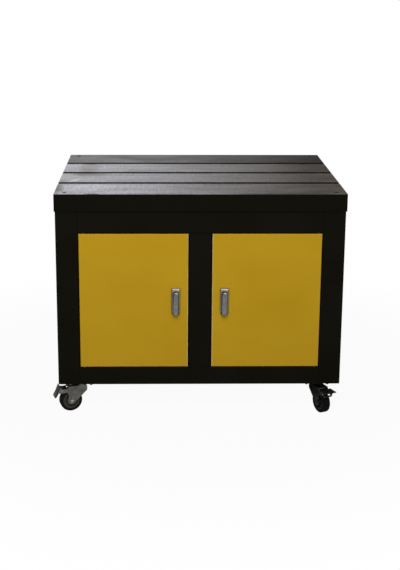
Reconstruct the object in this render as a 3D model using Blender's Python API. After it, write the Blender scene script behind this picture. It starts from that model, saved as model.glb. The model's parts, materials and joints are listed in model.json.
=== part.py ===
"""Tapping machine stand: a T-slot table top on a two-door sheet-steel cabinet with swivel casters.

Metres, +Z up, front towards -Y. The origin is on the floor, under the middle of the table top.
"""

import math

import bmesh
import bpy
from mathutils import Matrix, Vector

# Overall
TOP_WIDTH = 1.000
TOP_DEPTH = 0.750
WORK_HEIGHT = 0.800
FIT_GAP = 0.0003

# Facets round a turned form
FINE = 28
ROUND = 18
SMALL = 12
HEXAGON = 6
HALF_TURN = 8
QUARTER_TURN = 4
SMOOTH_BELOW = math.radians(30)

# Table top
TOP_THICKNESS = 0.061
TOP_OVERHANG = 0.003
TOP_EDGE = 0.0015
SLOT_COUNT = 3
SLOT_NECK_WIDTH = 0.018
SLOT_NECK_DEPTH = 0.018
SLOT_HEAD_WIDTH = 0.030
SLOT_HEAD_HEIGHT = 0.012
SLOT_CHAMFER = 0.001
SLOT_WALL = 0.008
PLATE_THICKNESS = 0.024
RIM_WALL = 0.014
RIB_WALL = 0.012
CROSS_RIBS = 3
POCKET_DRAFT = 0.002
CORNER_PAD = 0.030

# Screws that hold the table top
SCREW_FROM_SIDE = 0.036
SCREW_FROM_FRONT = 0.030
SCREW_RADIUS = 0.004
SCREW_HEAD_RADIUS = 0.0065
SCREW_HEAD_HEIGHT = 0.008
SCREW_SOCKET_RADIUS = 0.0035
SCREW_SOCKET_DEPTH = 0.004
SCREW_RECESS = 0.003
SCREW_HEAD_CLEARANCE = 0.001
SCREW_END = 0.002
INSERT_WALL = 0.003
INSERT_LENGTH = 0.008
INSERT_EDGE = 0.010

# Cabinet sheet metal
SHEET = 0.002
BEND_RADIUS = 0.0005
BEND_STEPS = 3
FOLD_CLEARANCE = 0.00015
STILE_WIDTH = 0.076
CENTRE_POST_WIDTH = 0.077
TOP_RAIL_HEIGHT = 0.076
BOTTOM_RAIL_HEIGHT = 0.0625
JAMB_DEPTH = 0.025
TOP_RETURN = 0.040
REAR_FLANGE = 0.030
FLOOR_EDGE = 0.025
SHELF_DROP = 0.012
SHELF_SETBACK = 0.100
SHELF_EDGE = 0.025
SHELF_RAIL_WIDTH = 0.025
SHELF_RAIL_MARGIN = 0.020

# Doors and their pivots
DOOR_GAP = 0.003
DOOR_DEPTH = 0.020
DOOR_LIP = 0.015
DOOR_EDGE = 0.002
PIVOT_FROM_EDGE = 0.014
PIVOT_FROM_FRONT = 0.008
PIN_RADIUS = 0.0025
PIN_HEAD_RADIUS = 0.005
PIN_HEAD_HEIGHT = 0.003
BUSH_WALL = 0.0012
BUSH_FLANGE_RADIUS = 0.006
BUSH_TAIL = 0.004
PIN_TAIL = 0.002

# Handle locks
HOUSING_WIDTH = 0.032
HOUSING_ABOVE = 0.0211
HOUSING_BELOW = 0.0810
HOUSING_TAPER = 0.0125
HOUSING_TIP_HALF = 0.005
HOUSING_HEIGHT = 0.009
HOUSING_SIDE_SLOPE = 0.003
HOUSING_TOP_SLOPE = 0.005
HOUSING_TIP_SLOPE = 0.0025
HOUSING_CORNER = 0.0015
HOUSING_FLOOR = 0.0017
HOUSING_DISH = 0.0015
LOCK_EDGE_MARGIN = 0.027
LOCK_AXIS_RISE = 0.0268
ROTOR_DISC = 0.0013
SPINDLE_RADIUS = 0.006
BARREL_WALL = 0.0027
BARREL_LENGTH = 0.016
LOCK_NUT_RADIUS = 0.0135
LOCK_NUT_HEIGHT = 0.004
LEVER_HEAD_RADIUS = 0.009
LEVER_REACH = 0.0756
LEVER_TAPER = 0.0075
LEVER_TIP_HALF = 0.0035
LEVER_THICKNESS = 0.0065
LEVER_CHAMFER = 0.002
LEVER_LIFT = 0.0005
LEVER_POCKET_GAP = 0.0017
STEM_WIDTH = 0.006
STEM_RADIUS = 0.0024
STEM_CLEARANCE = 0.0005
LEVER_PIN_RADIUS = 0.00125
LEVER_PIN_DEPTH = 0.0026
TAIL_HALF = 0.004
TAIL_END = 0.001
CAM_CLEARANCE = 0.002
CAM_THICKNESS = 0.003
CAM_HUB_RADIUS = 0.011
CAM_TIP_RADIUS = 0.008
CAM_REACH = 0.062

# Casters
WHEEL_DIAMETER = 0.080
WHEEL_WIDTH = 0.027
WHEEL_SIDE_GAP = 0.0025
TYRE_THICKNESS = 0.011
TYRE_SHOULDER = 0.006
TYRE_ROUND_DROP = 0.0015
TYRE_ROUND_HALF = 0.0099
TYRE_TREAD_HALF = 0.0045
HUB_RADIUS = 0.010
HUB_END_GAP = 0.0005
WEB_HALF = 0.0035
RIM_DEPTH = 0.006
RIM_INSET = 0.0015
AXLE_RADIUS = 0.004
AXLE_HEAD_RADIUS = 0.0075
AXLE_HEAD_HEIGHT = 0.005
AXLE_END = 0.001
TRAIL = 0.040
FORK_SHEET = 0.0025
FORK_LEAD = 0.017
FORK_WEB_HEIGHT = 0.019
FORK_SHOULDER = 0.004
FORK_EAR = 0.0085
FORK_EAR_END = 40
FORK_HOLE_RADIUS = 0.0025
FORK_HOLE_BEHIND = 0.010
LEG_BEHIND = 0.0105
ARM_FILLET = 0.010
ARM_STEP = 0.004
CROWN_CLEARANCE = 0.0072
AXLE_BOSS = 0.013
AXLE_BOSS_START = 226
KING_PIN_RADIUS = 0.006
KING_HEAD_RADIUS = 0.011
KING_FOOT_RADIUS = 0.0077
KING_HEAD_HEIGHT = 0.005
RACE_RADIUS = 0.018
RACE_NECK_RADIUS = 0.014
RACE_SKIRT = 0.005
RACE_HEIGHT = 0.0138
CASTER_PLATE_WIDTH = 0.096
CASTER_PLATE_DEPTH = 0.072
CASTER_PLATE_THICKNESS = 0.003
CASTER_PLATE_CORNER = 0.008
CASTER_HOLE_RADIUS = 0.0045
CASTER_HOLE_MARGIN = 0.011
FRONT_CASTER_INSET = (0.076, 0.052)
REAR_CASTER_INSET = (0.066, 0.038)

# Brake pedals
PEDAL_SHEET = 0.002
PEDAL_SIDE_GAP = 0.0005
PEDAL_SWEEP_GAP = 0.0007
PEDAL_PIVOT_BEHIND = 0.035
PEDAL_PIVOT_RISE = 0.042
PEDAL_STUD_RADIUS = 0.003
PEDAL_STUD_END = 0.001
PEDAL_HALF_WIDTH = 0.021
PEDAL_HEEL = 0.011
PEDAL_BEND = 0.015
PEDAL_TOE = 0.033
PEDAL_TOE_ANGLE = math.radians(9)
PEDAL_CORNER = 0.008
PEDAL_CHEEK_HALF = 0.0075
PEDAL_TRAVEL = math.radians(68)
SHOE_RADIUS = 0.003
SHOE_GAP = 0.0006

# Where each caster's wheel trails, as an angle from +X
CASTER_HEADINGS = {
    "front_left": math.radians(198),
    "front_right": math.radians(-66),
    "rear_left": math.radians(92),
    "rear_right": math.radians(3),
}
PEDAL_PRESSED = {"front_left": True, "front_right": False}

# Places worked out from the sizes above
cabinet_side = TOP_WIDTH / 2 - TOP_OVERHANG
cabinet_front = -TOP_DEPTH / 2 + TOP_OVERHANG
cabinet_back = TOP_DEPTH / 2 - TOP_OVERHANG
fold_clear = FIT_GAP + FOLD_CLEARANCE

wheel_radius = WHEEL_DIAMETER / 2
king_head_bottom = WHEEL_DIAMETER + CROWN_CLEARANCE
crown_bottom = king_head_bottom + KING_HEAD_HEIGHT + FIT_GAP
crown_top = crown_bottom + FORK_SHEET
race_bottom = crown_top + FIT_GAP
caster_plate_bottom = race_bottom + RACE_HEIGHT
caster_plate_top = caster_plate_bottom + CASTER_PLATE_THICKNESS
fork_inside = WHEEL_WIDTH / 2 + WHEEL_SIDE_GAP
fork_outside = fork_inside + FORK_SHEET
axle_spot = Vector((TRAIL, wheel_radius))
pedal_pivot = axle_spot + Vector((PEDAL_PIVOT_BEHIND, PEDAL_PIVOT_RISE))

top_under = WORK_HEIGHT - TOP_THICKNESS
cabinet_top = top_under - FIT_GAP
cabinet_bottom = caster_plate_top + FIT_GAP

opening_side = cabinet_side - STILE_WIDTH
opening_top = cabinet_top - TOP_RAIL_HEIGHT
opening_bottom = cabinet_bottom + BOTTOM_RAIL_HEIGHT
door_outer = opening_side - DOOR_GAP
door_inner = CENTRE_POST_WIDTH / 2 + DOOR_GAP
door_top = opening_top - DOOR_GAP
door_bottom = opening_bottom + DOOR_GAP
door_middle = (door_top + door_bottom) / 2
pivot_x = door_outer - PIVOT_FROM_EDGE
pivot_y = cabinet_front + PIVOT_FROM_FRONT
lock_x = door_inner + LOCK_EDGE_MARGIN + HOUSING_WIDTH / 2
lock_z = door_middle + LOCK_AXIS_RISE

back_outer = cabinet_back - SHEET - fold_clear
back_inner = back_outer - SHEET
shelf_top = door_middle - SHELF_DROP
shelf_front = cabinet_front + SHELF_SETBACK
shelf_back = back_inner - FIT_GAP

screw_x = TOP_WIDTH / 2 - SCREW_FROM_SIDE
screw_y = TOP_DEPTH / 2 - SCREW_FROM_FRONT
screw_hole = SCREW_RADIUS + FIT_GAP
insert_radius = screw_hole + INSERT_WALL
top_flange = screw_x - insert_radius - INSERT_EDGE
barrel_radius = SPINDLE_RADIUS + FIT_GAP + BARREL_WALL


def remove_everything():
    """Empties the scene."""
    for obj in list(bpy.data.objects):
        bpy.data.objects.remove(obj)


def block(low, high):
    """A rectangular solid between two opposite corners."""
    low, high = Vector(low), Vector(high)
    bm = bmesh.new()
    place = Matrix.Translation((low + high) / 2) @ Matrix.Diagonal((*(high - low), 1))
    bmesh.ops.create_cube(bm, size=1, matrix=place)
    return bm


def prism(outline, axis, start, end):
    """A flat outline pushed along an axis: (y, z) pairs along X, (x, z) along Y, (x, y) along Z."""

    def at(pair, level):
        a, b = pair
        return {"X": (level, a, b), "Y": (a, level, b), "Z": (a, b, level)}[axis]

    bm = bmesh.new()
    near = [bm.verts.new(at(pair, start)) for pair in outline]
    far = [bm.verts.new(at(pair, end)) for pair in outline]
    bm.faces.new(near)
    bm.faces.new(far)
    for i in range(len(near)):
        bm.faces.new((near[i - 1], near[i], far[i], far[i - 1]))
    bmesh.ops.recalc_face_normals(bm, faces=bm.faces)
    return bm


def turned(profile, steps):
    """A (radius, height) profile spun about Z, closed on itself unless both ends lie on the axis."""
    bm = bmesh.new()
    verts = [bm.verts.new((radius, 0, height)) for radius, height in profile]
    pairs = list(zip(verts, verts[1:]))
    if profile[0][0] or profile[-1][0]:
        pairs.append((verts[-1], verts[0]))
    edges = [bm.edges.new(pair) for pair in pairs]
    bmesh.ops.spin(
        bm,
        geom=verts + edges,
        axis=(0, 0, 1),
        cent=(0, 0, 0),
        angle=2 * math.pi,
        steps=steps,
        use_merge=True,
    )
    bmesh.ops.remove_doubles(bm, verts=bm.verts, dist=1e-7)
    bmesh.ops.recalc_face_normals(bm, faces=bm.faces)
    return bm


def moved(bm, matrix):
    """The same solid, carried by a matrix."""
    bmesh.ops.transform(bm, matrix=matrix, verts=bm.verts)
    if matrix.determinant() < 0:
        bmesh.ops.reverse_faces(bm, faces=bm.faces)
    return bm


def shifted(bm, x=0, y=0, z=0):
    return moved(bm, Matrix.Translation((x, y, z)))


def along_y(bm):
    """Turns a solid spun about Z so that its height runs along +Y."""
    return moved(bm, Matrix.Rotation(-math.pi / 2, 4, "X"))


def along_x(bm):
    """Turns a solid spun about Z so that its height runs along +X."""
    return moved(bm, Matrix.Rotation(math.pi / 2, 4, "Y"))


def mirrored(bm):
    return moved(bm, Matrix.Diagonal((-1, 1, 1, 1)))


def rod(radius, start, end, steps):
    """A round bar along Z."""
    return turned([(0, end), (radius, end), (radius, start), (0, start)], steps)


def arc(centre, radius, start, end, steps):
    """Points on an arc, with angles in degrees."""
    turns = [math.radians(start + (end - start) * i / steps) for i in range(steps + 1)]
    return [(centre[0] + radius * math.cos(t), centre[1] + radius * math.sin(t)) for t in turns]


def rounded_rectangle(width, depth, radius):
    """A centred rectangle with round corners."""
    x, y = width / 2 - radius, depth / 2 - radius
    outline = []
    for i, corner in enumerate(((x, y), (-x, y), (-x, -y), (x, -y))):
        outline += arc(corner, radius, 90 * i, 90 * i + 90, QUARTER_TURN)
    return outline


def eased(bm, edges, size, segments):
    """Rounds or chamfers some edges of a solid."""
    bmesh.ops.bevel(
        bm, geom=edges, offset=size, segments=segments, profile=0.5, affect="EDGES", material=-1
    )
    return bm


def folded(path, side):
    """The outline of a folded sheet along its show face. Side 1 puts the metal to the path's left."""
    points = [Vector(point) for point in path]
    show, back = [], []
    for i, point in enumerate(points):
        before = (point - points[i - 1]).normalized() if i else None
        after = (points[i + 1] - point).normalized() if i + 1 < len(points) else None
        if before is None or after is None:
            along = after or before
            show.append(point)
            back.append(point + side * SHEET * Vector((-along.y, along.x)))
            continue
        turn = before.angle_signed(after)
        hand = -1 if turn > 0 else 1
        inward = hand == side
        radius = BEND_RADIUS + (SHEET if inward else 0)
        start = point - before * radius * math.tan(abs(turn) / 2)
        centre = start + hand * radius * Vector((-before.y, before.x))
        for step in range(BEND_STEPS + 1):
            spoke = (start - centre).normalized()
            spoke.rotate(Matrix.Rotation(hand * abs(turn) * step / BEND_STEPS, 2))
            show.append(centre + radius * spoke)
            back.append(centre + (radius - SHEET if inward else radius + SHEET) * spoke)
    return [tuple(point) for point in show + back[::-1]]


def carved(body, joined=(), cut=()):
    """The mesh of a body with other solids joined to it, and then more of them cut from it."""

    def scratch(bm):
        mesh = bpy.data.meshes.new("scratch")
        bm.to_mesh(mesh)
        bm.free()
        obj = bpy.data.objects.new("scratch", mesh)
        bpy.context.scene.collection.objects.link(obj)
        return obj

    base = scratch(body)
    tools = []
    for operation, solids in (("UNION", joined), ("DIFFERENCE", cut)):
        for solid in solids:
            tool = scratch(solid)
            modifier = base.modifiers.new(operation, "BOOLEAN")
            modifier.operation = operation
            modifier.solver = "EXACT"
            modifier.object = tool
            tools.append(tool)
    graph = bpy.context.evaluated_depsgraph_get()
    mesh = bpy.data.meshes.new_from_object(base.evaluated_get(graph))
    for obj in [base, *tools]:
        data = obj.data
        bpy.data.objects.remove(obj)
        bpy.data.meshes.remove(data)
    return mesh


def finish(name, colour, roughness, metallic):
    """A plain surface finish."""
    material = bpy.data.materials.new(name)
    material.use_nodes = True
    shader = material.node_tree.nodes["Principled BSDF"]
    shader.inputs["Base Color"].default_value = (*colour, 1)
    shader.inputs["Roughness"].default_value = roughness
    shader.inputs["Metallic"].default_value = metallic
    material.diffuse_color = (*colour, 1)
    return material


def node(name, mesh, look, place=(0, 0, 0), parent=None, heading=0):
    """One piece of the stand, at a place given from its parent."""
    piece = mesh.copy()
    piece.name = name
    piece.materials.clear()
    piece.materials.append(FINISHES[look].copy())
    piece.shade_smooth()
    piece.set_sharp_from_angle(angle=SMOOTH_BELOW)
    obj = bpy.data.objects.new(name, piece)
    bpy.context.scene.collection.objects.link(obj)
    obj.parent = parent
    obj.location = place
    obj.rotation_euler.z = heading
    return obj


def slot_centres():
    pitch = TOP_DEPTH / (SLOT_COUNT + 1)
    return [-TOP_DEPTH / 2 + pitch * (i + 1) for i in range(SLOT_COUNT)]


def slot_cutter(centre):
    """A T-slot that runs out of both sides of the table top."""
    neck, head = SLOT_NECK_WIDTH / 2, SLOT_HEAD_WIDTH / 2
    throat = WORK_HEIGHT - SLOT_NECK_DEPTH
    half = [
        (neck + 2 * SLOT_CHAMFER, WORK_HEIGHT + SLOT_CHAMFER),
        (neck, WORK_HEIGHT - SLOT_CHAMFER),
        (neck, throat),
        (head, throat),
        (head, throat - SLOT_HEAD_HEIGHT),
    ]
    outline = [(centre + y, z) for y, z in half] + [(centre - y, z) for y, z in reversed(half)]
    return prism(outline, "X", -TOP_WIDTH, TOP_WIDTH)


def pocket_cutters():
    """The tapered pockets between the ribs of the casting's underside."""
    boss = SLOT_HEAD_WIDTH / 2 + SLOT_WALL
    walls = [-TOP_DEPTH / 2 + RIM_WALL]
    for centre in slot_centres():
        walls += [centre - boss, centre + boss]
    walls.append(TOP_DEPTH / 2 - RIM_WALL)
    rows = []
    for near, far in zip(walls[::2], walls[1::2]):
        middle = (near + far) / 2
        rows += [(near, middle - RIB_WALL / 2), (middle + RIB_WALL / 2, far)]
    length = (TOP_WIDTH - 2 * RIM_WALL - CROSS_RIBS * RIB_WALL) / (CROSS_RIBS + 1)
    pad = SCREW_FROM_SIDE + CORNER_PAD
    cutters = bmesh.new()
    for row, (near, far) in enumerate(rows):
        for column in range(CROSS_RIBS + 1):
            left = -TOP_WIDTH / 2 + RIM_WALL + column * (length + RIB_WALL)
            right = left + length
            if row in (0, len(rows) - 1):
                left = max(left, -TOP_WIDTH / 2 + pad)
                right = min(right, TOP_WIDTH / 2 - pad)
            roof_height = WORK_HEIGHT - PLATE_THICKNESS
            pocket = block((left, near, top_under - TOP_EDGE), (right, far, roof_height))
            roof = [vert for vert in pocket.verts if vert.co.z > top_under]
            for vert in roof:
                vert.co.x += POCKET_DRAFT if vert.co.x < (left + right) / 2 else -POCKET_DRAFT
                vert.co.y += POCKET_DRAFT if vert.co.y < (near + far) / 2 else -POCKET_DRAFT
            mesh = bpy.data.meshes.new("pocket")
            pocket.to_mesh(mesh)
            pocket.free()
            cutters.from_mesh(mesh)
            bpy.data.meshes.remove(mesh)
    return cutters


def table_top():
    """The cast top: T-slots above, ribs below, and a counterbored hole at each corner."""
    corner = Vector((TOP_WIDTH / 2, TOP_DEPTH / 2, WORK_HEIGHT))
    body = block((-corner.x, -corner.y, top_under), corner)
    rim = [edge for edge in body.edges if any(vert.co.z > top_under + TOP_EDGE for vert in edge.verts)]
    eased(body, rim, TOP_EDGE, 2)
    seat = WORK_HEIGHT - SCREW_HEAD_HEIGHT - SCREW_RECESS
    bore = SCREW_HEAD_RADIUS + SCREW_HEAD_CLEARANCE
    profile = [
        (0, WORK_HEIGHT + TOP_EDGE),
        (bore, WORK_HEIGHT + TOP_EDGE),
        (bore, seat),
        (screw_hole, seat),
        (screw_hole, top_under - TOP_EDGE),
        (0, top_under - TOP_EDGE),
    ]
    corners = [(x, y) for x in (-screw_x, screw_x) for y in (-screw_y, screw_y)]
    holes = [shifted(turned(profile, SMALL), x, y) for x, y in corners]
    slots = [slot_cutter(centre) for centre in slot_centres()]
    node("top_plate", carved(body, cut=[pocket_cutters(), *slots, *holes]), "iron")


def top_screws():
    """Socket-head screws, sunk in the table top and threaded into the side panels' inserts."""
    seat = WORK_HEIGHT - SCREW_HEAD_HEIGHT - SCREW_RECESS + FIT_GAP
    crown = seat + SCREW_HEAD_HEIGHT
    end = cabinet_top - SHEET - INSERT_LENGTH - SCREW_END
    body = turned(
        [(0, crown), (SCREW_HEAD_RADIUS, crown), (SCREW_HEAD_RADIUS, seat), (SCREW_RADIUS, seat)]
        + [(SCREW_RADIUS, end), (0, end)],
        SMALL,
    )
    socket_floor = crown - SCREW_SOCKET_DEPTH
    socket = rod(SCREW_SOCKET_RADIUS, socket_floor, crown + SCREW_SOCKET_DEPTH, HEXAGON)
    mesh = carved(body, cut=[socket])
    for row, y in (("front", -screw_y), ("rear", screw_y)):
        for side, x in (("left", -screw_x), ("right", screw_x)):
            node(f"top_screw_{row}_{side}", mesh, "dark_steel", (x, y, 0))


def side_panels():
    """Each side is folded into a stile and a jamb, and its top flange has threaded inserts."""
    path = [
        (opening_side, cabinet_front + JAMB_DEPTH),
        (opening_side, cabinet_front),
        (cabinet_side, cabinet_front),
        (cabinet_side, cabinet_back),
        (cabinet_side - REAR_FLANGE, cabinet_back),
    ]
    insert_foot = cabinet_top - SHEET - INSERT_LENGTH
    tray_rim = cabinet_bottom + FLOOR_EDGE + FIT_GAP
    for name, turn in (("left", mirrored), ("right", shifted)):
        body = prism(folded(path, 1), "Z", cabinet_bottom, cabinet_top)
        flange = block(
            (top_flange, cabinet_front + SHEET / 2, cabinet_top - SHEET),
            (cabinet_side - SHEET / 2, back_inner - FIT_GAP, cabinet_top),
        )
        joined, cut = [flange], []
        for y in (-screw_y, screw_y):
            insert = rod(insert_radius, insert_foot, cabinet_top - SHEET / 2, SMALL)
            joined.append(shifted(insert, screw_x, y))
            cut.append(shifted(rod(screw_hole, cabinet_bottom, WORK_HEIGHT, SMALL), screw_x, y))
        cut.append(
            block(
                (opening_side - SHEET, cabinet_front + SHEET, cabinet_bottom - SHEET),
                (opening_side + 2 * SHEET, cabinet_front + 2 * JAMB_DEPTH, tray_rim),
            )
        )
        mesh = carved(
            turn(body),
            joined=[turn(solid) for solid in joined],
            cut=[turn(solid) for solid in cut],
        )
        node(f"{name}_side_panel", mesh, "black_paint")


def pivot_holes(low, high):
    """Holes for the door pins, through a rail's flange."""
    hole = PIN_RADIUS + FIT_GAP
    return [shifted(rod(hole, low, high, SMALL), side * pivot_x, pivot_y) for side in (-1, 1)]


def front_frame():
    """The rails and the centre post, which close the front between the stiles."""
    reach = opening_side - FIT_GAP
    upper = [
        (cabinet_front + TOP_RETURN, cabinet_top),
        (cabinet_front, cabinet_top),
        (cabinet_front, opening_top),
        (cabinet_front + JAMB_DEPTH, opening_top),
    ]
    rail = prism(folded(upper, 1), "X", -reach, reach)
    holes = pivot_holes(opening_top - SHEET, opening_top + 2 * SHEET)
    node("front_top_rail", carved(rail, cut=holes), "black_paint")
    lower = [
        (cabinet_front + JAMB_DEPTH, opening_bottom),
        (cabinet_front, opening_bottom),
        (cabinet_front, cabinet_bottom),
    ]
    rail = prism(folded(lower, 1), "X", -reach, reach)
    holes = pivot_holes(opening_bottom - 2 * SHEET, opening_bottom + SHEET)
    node("front_bottom_rail", carved(rail, cut=holes), "black_paint")
    half = CENTRE_POST_WIDTH / 2
    post = [
        (-half, cabinet_front + JAMB_DEPTH),
        (-half, cabinet_front),
        (half, cabinet_front),
        (half, cabinet_front + JAMB_DEPTH),
    ]
    solid = prism(folded(post, 1), "Z", opening_bottom + FIT_GAP, opening_top - FIT_GAP)
    node("centre_post", carved(solid), "black_paint")


def inner_panels():
    """The floor tray, the back panel and the shelf with its two angle rails."""
    side = cabinet_side - SHEET - fold_clear
    front = cabinet_front + SHEET + fold_clear
    tray = block((-side, front, cabinet_bottom), (side, back_outer, cabinet_bottom + FLOOR_EDGE))
    hollow = block(
        (SHEET - side, front + SHEET, cabinet_bottom + SHEET),
        (side - SHEET, back_inner, cabinet_bottom + 2 * FLOOR_EDGE),
    )
    node("floor_tray", carved(tray, cut=[hollow]), "black_paint")

    tray_rim = cabinet_bottom + FLOOR_EDGE + FIT_GAP
    sheet = block((-side, back_inner, tray_rim), (side, back_outer, cabinet_top))
    ledge = block(
        (FIT_GAP - top_flange, back_outer - TOP_RETURN, cabinet_top - SHEET),
        (top_flange - FIT_GAP, back_outer - SHEET / 2, cabinet_top),
    )
    node("back_panel", carved(sheet, joined=[ledge]), "black_paint")

    path = [
        (shelf_front, shelf_top - SHELF_EDGE),
        (shelf_front, shelf_top),
        (shelf_back, shelf_top),
        (shelf_back, shelf_top - SHELF_EDGE),
    ]
    node("shelf", carved(prism(folded(path, -1), "X", -side, side)), "black_paint")
    under = shelf_top - SHEET - FIT_GAP
    wall = cabinet_side - SHEET - FIT_GAP
    angle = [(wall, under - SHELF_RAIL_WIDTH), (wall, under), (wall - SHELF_RAIL_WIDTH, under)]
    near, far = shelf_front + SHELF_RAIL_MARGIN, shelf_back - SHELF_RAIL_MARGIN
    for name, turn in (("left", mirrored), ("right", shifted)):
        rail = prism(folded(angle, 1), "Y", near, far)
        node(f"{name}_shelf_rail", carved(turn(rail)), "black_paint")


def door(side):
    """One door pan with its pivots and bushes. Its origin is at the bottom of the hinge axis."""
    name = "left" if side < 0 else "right"
    pivot = Vector((side * pivot_x, pivot_y, door_bottom))
    outer, inner = PIVOT_FROM_EDGE, -(pivot_x - door_inner)
    front, back = -PIVOT_FROM_FRONT, DOOR_DEPTH - PIVOT_FROM_FRONT
    height = door_top - door_bottom
    body = block((inner, front, 0), (outer, back, height))
    rim = [edge for edge in body.edges if all(vert.co.y < 0 for vert in edge.verts)]
    eased(body, rim, DOOR_EDGE, 2)
    pocket = block(
        (inner + SHEET, front + SHEET, SHEET),
        (outer - SHEET, back - SHEET, height - SHEET),
    )
    window = block(
        (inner + DOOR_LIP, front + 2 * SHEET, DOOR_LIP),
        (outer - DOOR_LIP - PIVOT_FROM_EDGE, back + SHEET, height - DOOR_LIP),
    )
    bush_radius = PIN_RADIUS + FIT_GAP + BUSH_WALL
    bores = [
        rod(bush_radius + FIT_GAP, -SHEET, 2 * SHEET, SMALL),
        rod(bush_radius + FIT_GAP, height - 2 * SHEET, height + SHEET, SMALL),
    ]
    barrel_hole = along_y(rod(barrel_radius + FIT_GAP, front - SHEET, front + 2 * SHEET, ROUND))
    barrel_hole = shifted(barrel_hole, lock_x - pivot_x, 0, lock_z - door_bottom)
    turn = mirrored if side < 0 else shifted
    mesh = carved(turn(body), cut=[turn(solid) for solid in (pocket, window, *bores, barrel_hole)])
    panel = node(f"{name}_door", mesh, "yellow_paint", pivot)

    seat = DOOR_GAP - FIT_GAP
    ring = [
        (PIN_RADIUS + FIT_GAP, seat),
        (BUSH_FLANGE_RADIUS, seat),
        (BUSH_FLANGE_RADIUS, FIT_GAP),
        (bush_radius, FIT_GAP),
        (bush_radius, -SHEET - BUSH_TAIL),
        (PIN_RADIUS + FIT_GAP, -SHEET - BUSH_TAIL),
    ]
    head = DOOR_GAP + SHEET + FIT_GAP
    pin = [
        (0, head + PIN_HEAD_HEIGHT),
        (PIN_HEAD_RADIUS, head + PIN_HEAD_HEIGHT),
        (PIN_HEAD_RADIUS, head),
        (PIN_RADIUS, head),
        (PIN_RADIUS, -SHEET - BUSH_TAIL - PIN_TAIL),
        (0, -SHEET - BUSH_TAIL - PIN_TAIL),
    ]
    for end, rise, turning in (("top", height, 0), ("bottom", 0, math.pi)):
        turn_over = Matrix.Rotation(turning, 4, "X")
        bush = carved(moved(turned(ring, SMALL), turn_over))
        node(f"{name}_door_{end}_bush", bush, "brass", (0, 0, rise), panel)
        stud = carved(moved(turned(pin, SMALL), turn_over))
        node(f"{name}_door_{end}_pin", stud, "dark_steel", pivot + Vector((0, 0, rise)))
    return panel, pivot


def lock_housing():
    """The zinc body: sloped sides, a tapered foot, a round pocket and a dished bed for the lever."""
    half, face = HOUSING_WIDTH / 2, -HOUSING_HEIGHT
    outline = [
        (-half, HOUSING_ABOVE),
        (half, HOUSING_ABOVE),
        (half, HOUSING_TAPER - HOUSING_BELOW),
        (HOUSING_TIP_HALF, -HOUSING_BELOW),
        (-HOUSING_TIP_HALF, -HOUSING_BELOW),
        (-half, HOUSING_TAPER - HOUSING_BELOW),
    ]
    body = prism(outline, "Y", face, -FIT_GAP)
    for vert in body.verts:
        if vert.co.y < face / 2:
            vert.co.x *= 1 - HOUSING_SIDE_SLOPE / half
            vert.co.z += -HOUSING_TOP_SLOPE if vert.co.z > 0 else HOUSING_TIP_SLOPE
    depth = HOUSING_HEIGHT / 2
    corners = [edge for edge in body.edges if abs(edge.verts[0].co.y - edge.verts[1].co.y) > depth]
    eased(body, corners, HOUSING_CORNER, 2)
    pocket = LEVER_HEAD_RADIUS + LEVER_POCKET_GAP
    floor = -FIT_GAP - HOUSING_FLOOR
    sleeve = [
        (SPINDLE_RADIUS + FIT_GAP, BARREL_LENGTH),
        (barrel_radius, BARREL_LENGTH),
        (barrel_radius, floor + HOUSING_FLOOR / 2),
        (SPINDLE_RADIUS + FIT_GAP, floor + HOUSING_FLOOR / 2),
    ]
    bed = block(
        (-pocket, face - HOUSING_DISH, -2 * HOUSING_BELOW),
        (pocket, face + HOUSING_DISH, 0),
    )
    return carved(
        body,
        joined=[along_y(turned(sleeve, ROUND))],
        cut=[
            along_y(rod(pocket, face - HOUSING_DISH, floor, FINE)),
            bed,
            along_y(rod(SPINDLE_RADIUS + FIT_GAP, 2 * face, 2 * BARREL_LENGTH, ROUND)),
        ],
    )


def lock_rotor(pin_y, cam_front):
    """The turning core: a disc in the pocket, a stem for the lever and a spindle with a square tail."""
    disc_back = -FIT_GAP - HOUSING_FLOOR - FIT_GAP
    disc_front = disc_back - ROTOR_DISC
    disc = LEVER_HEAD_RADIUS + LEVER_POCKET_GAP - FIT_GAP
    shaft_end = cam_front - FIT_GAP
    profile = [
        (0, shaft_end),
        (SPINDLE_RADIUS, shaft_end),
        (SPINDLE_RADIUS, disc_back),
        (disc, disc_back),
        (disc, disc_front),
        (0, disc_front),
    ]
    stem = [
        (disc_back, -STEM_RADIUS),
        *arc((pin_y, 0), STEM_RADIUS, 270, 90, HALF_TURN // 2),
        (disc_back, STEM_RADIUS),
    ]
    tail_end = cam_front + CAM_THICKNESS + TAIL_END
    tail = block(
        (-TAIL_HALF, shaft_end - TAIL_HALF, -TAIL_HALF),
        (TAIL_HALF, tail_end, TAIL_HALF),
    )
    pin_hole = along_x(rod(LEVER_PIN_RADIUS + FIT_GAP, -STEM_WIDTH, STEM_WIDTH, SMALL))
    return carved(
        along_y(turned(profile, ROUND)),
        joined=[prism(stem, "X", -STEM_WIDTH / 2, STEM_WIDTH / 2), tail],
        cut=[shifted(pin_hole, y=pin_y)],
    )


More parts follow.
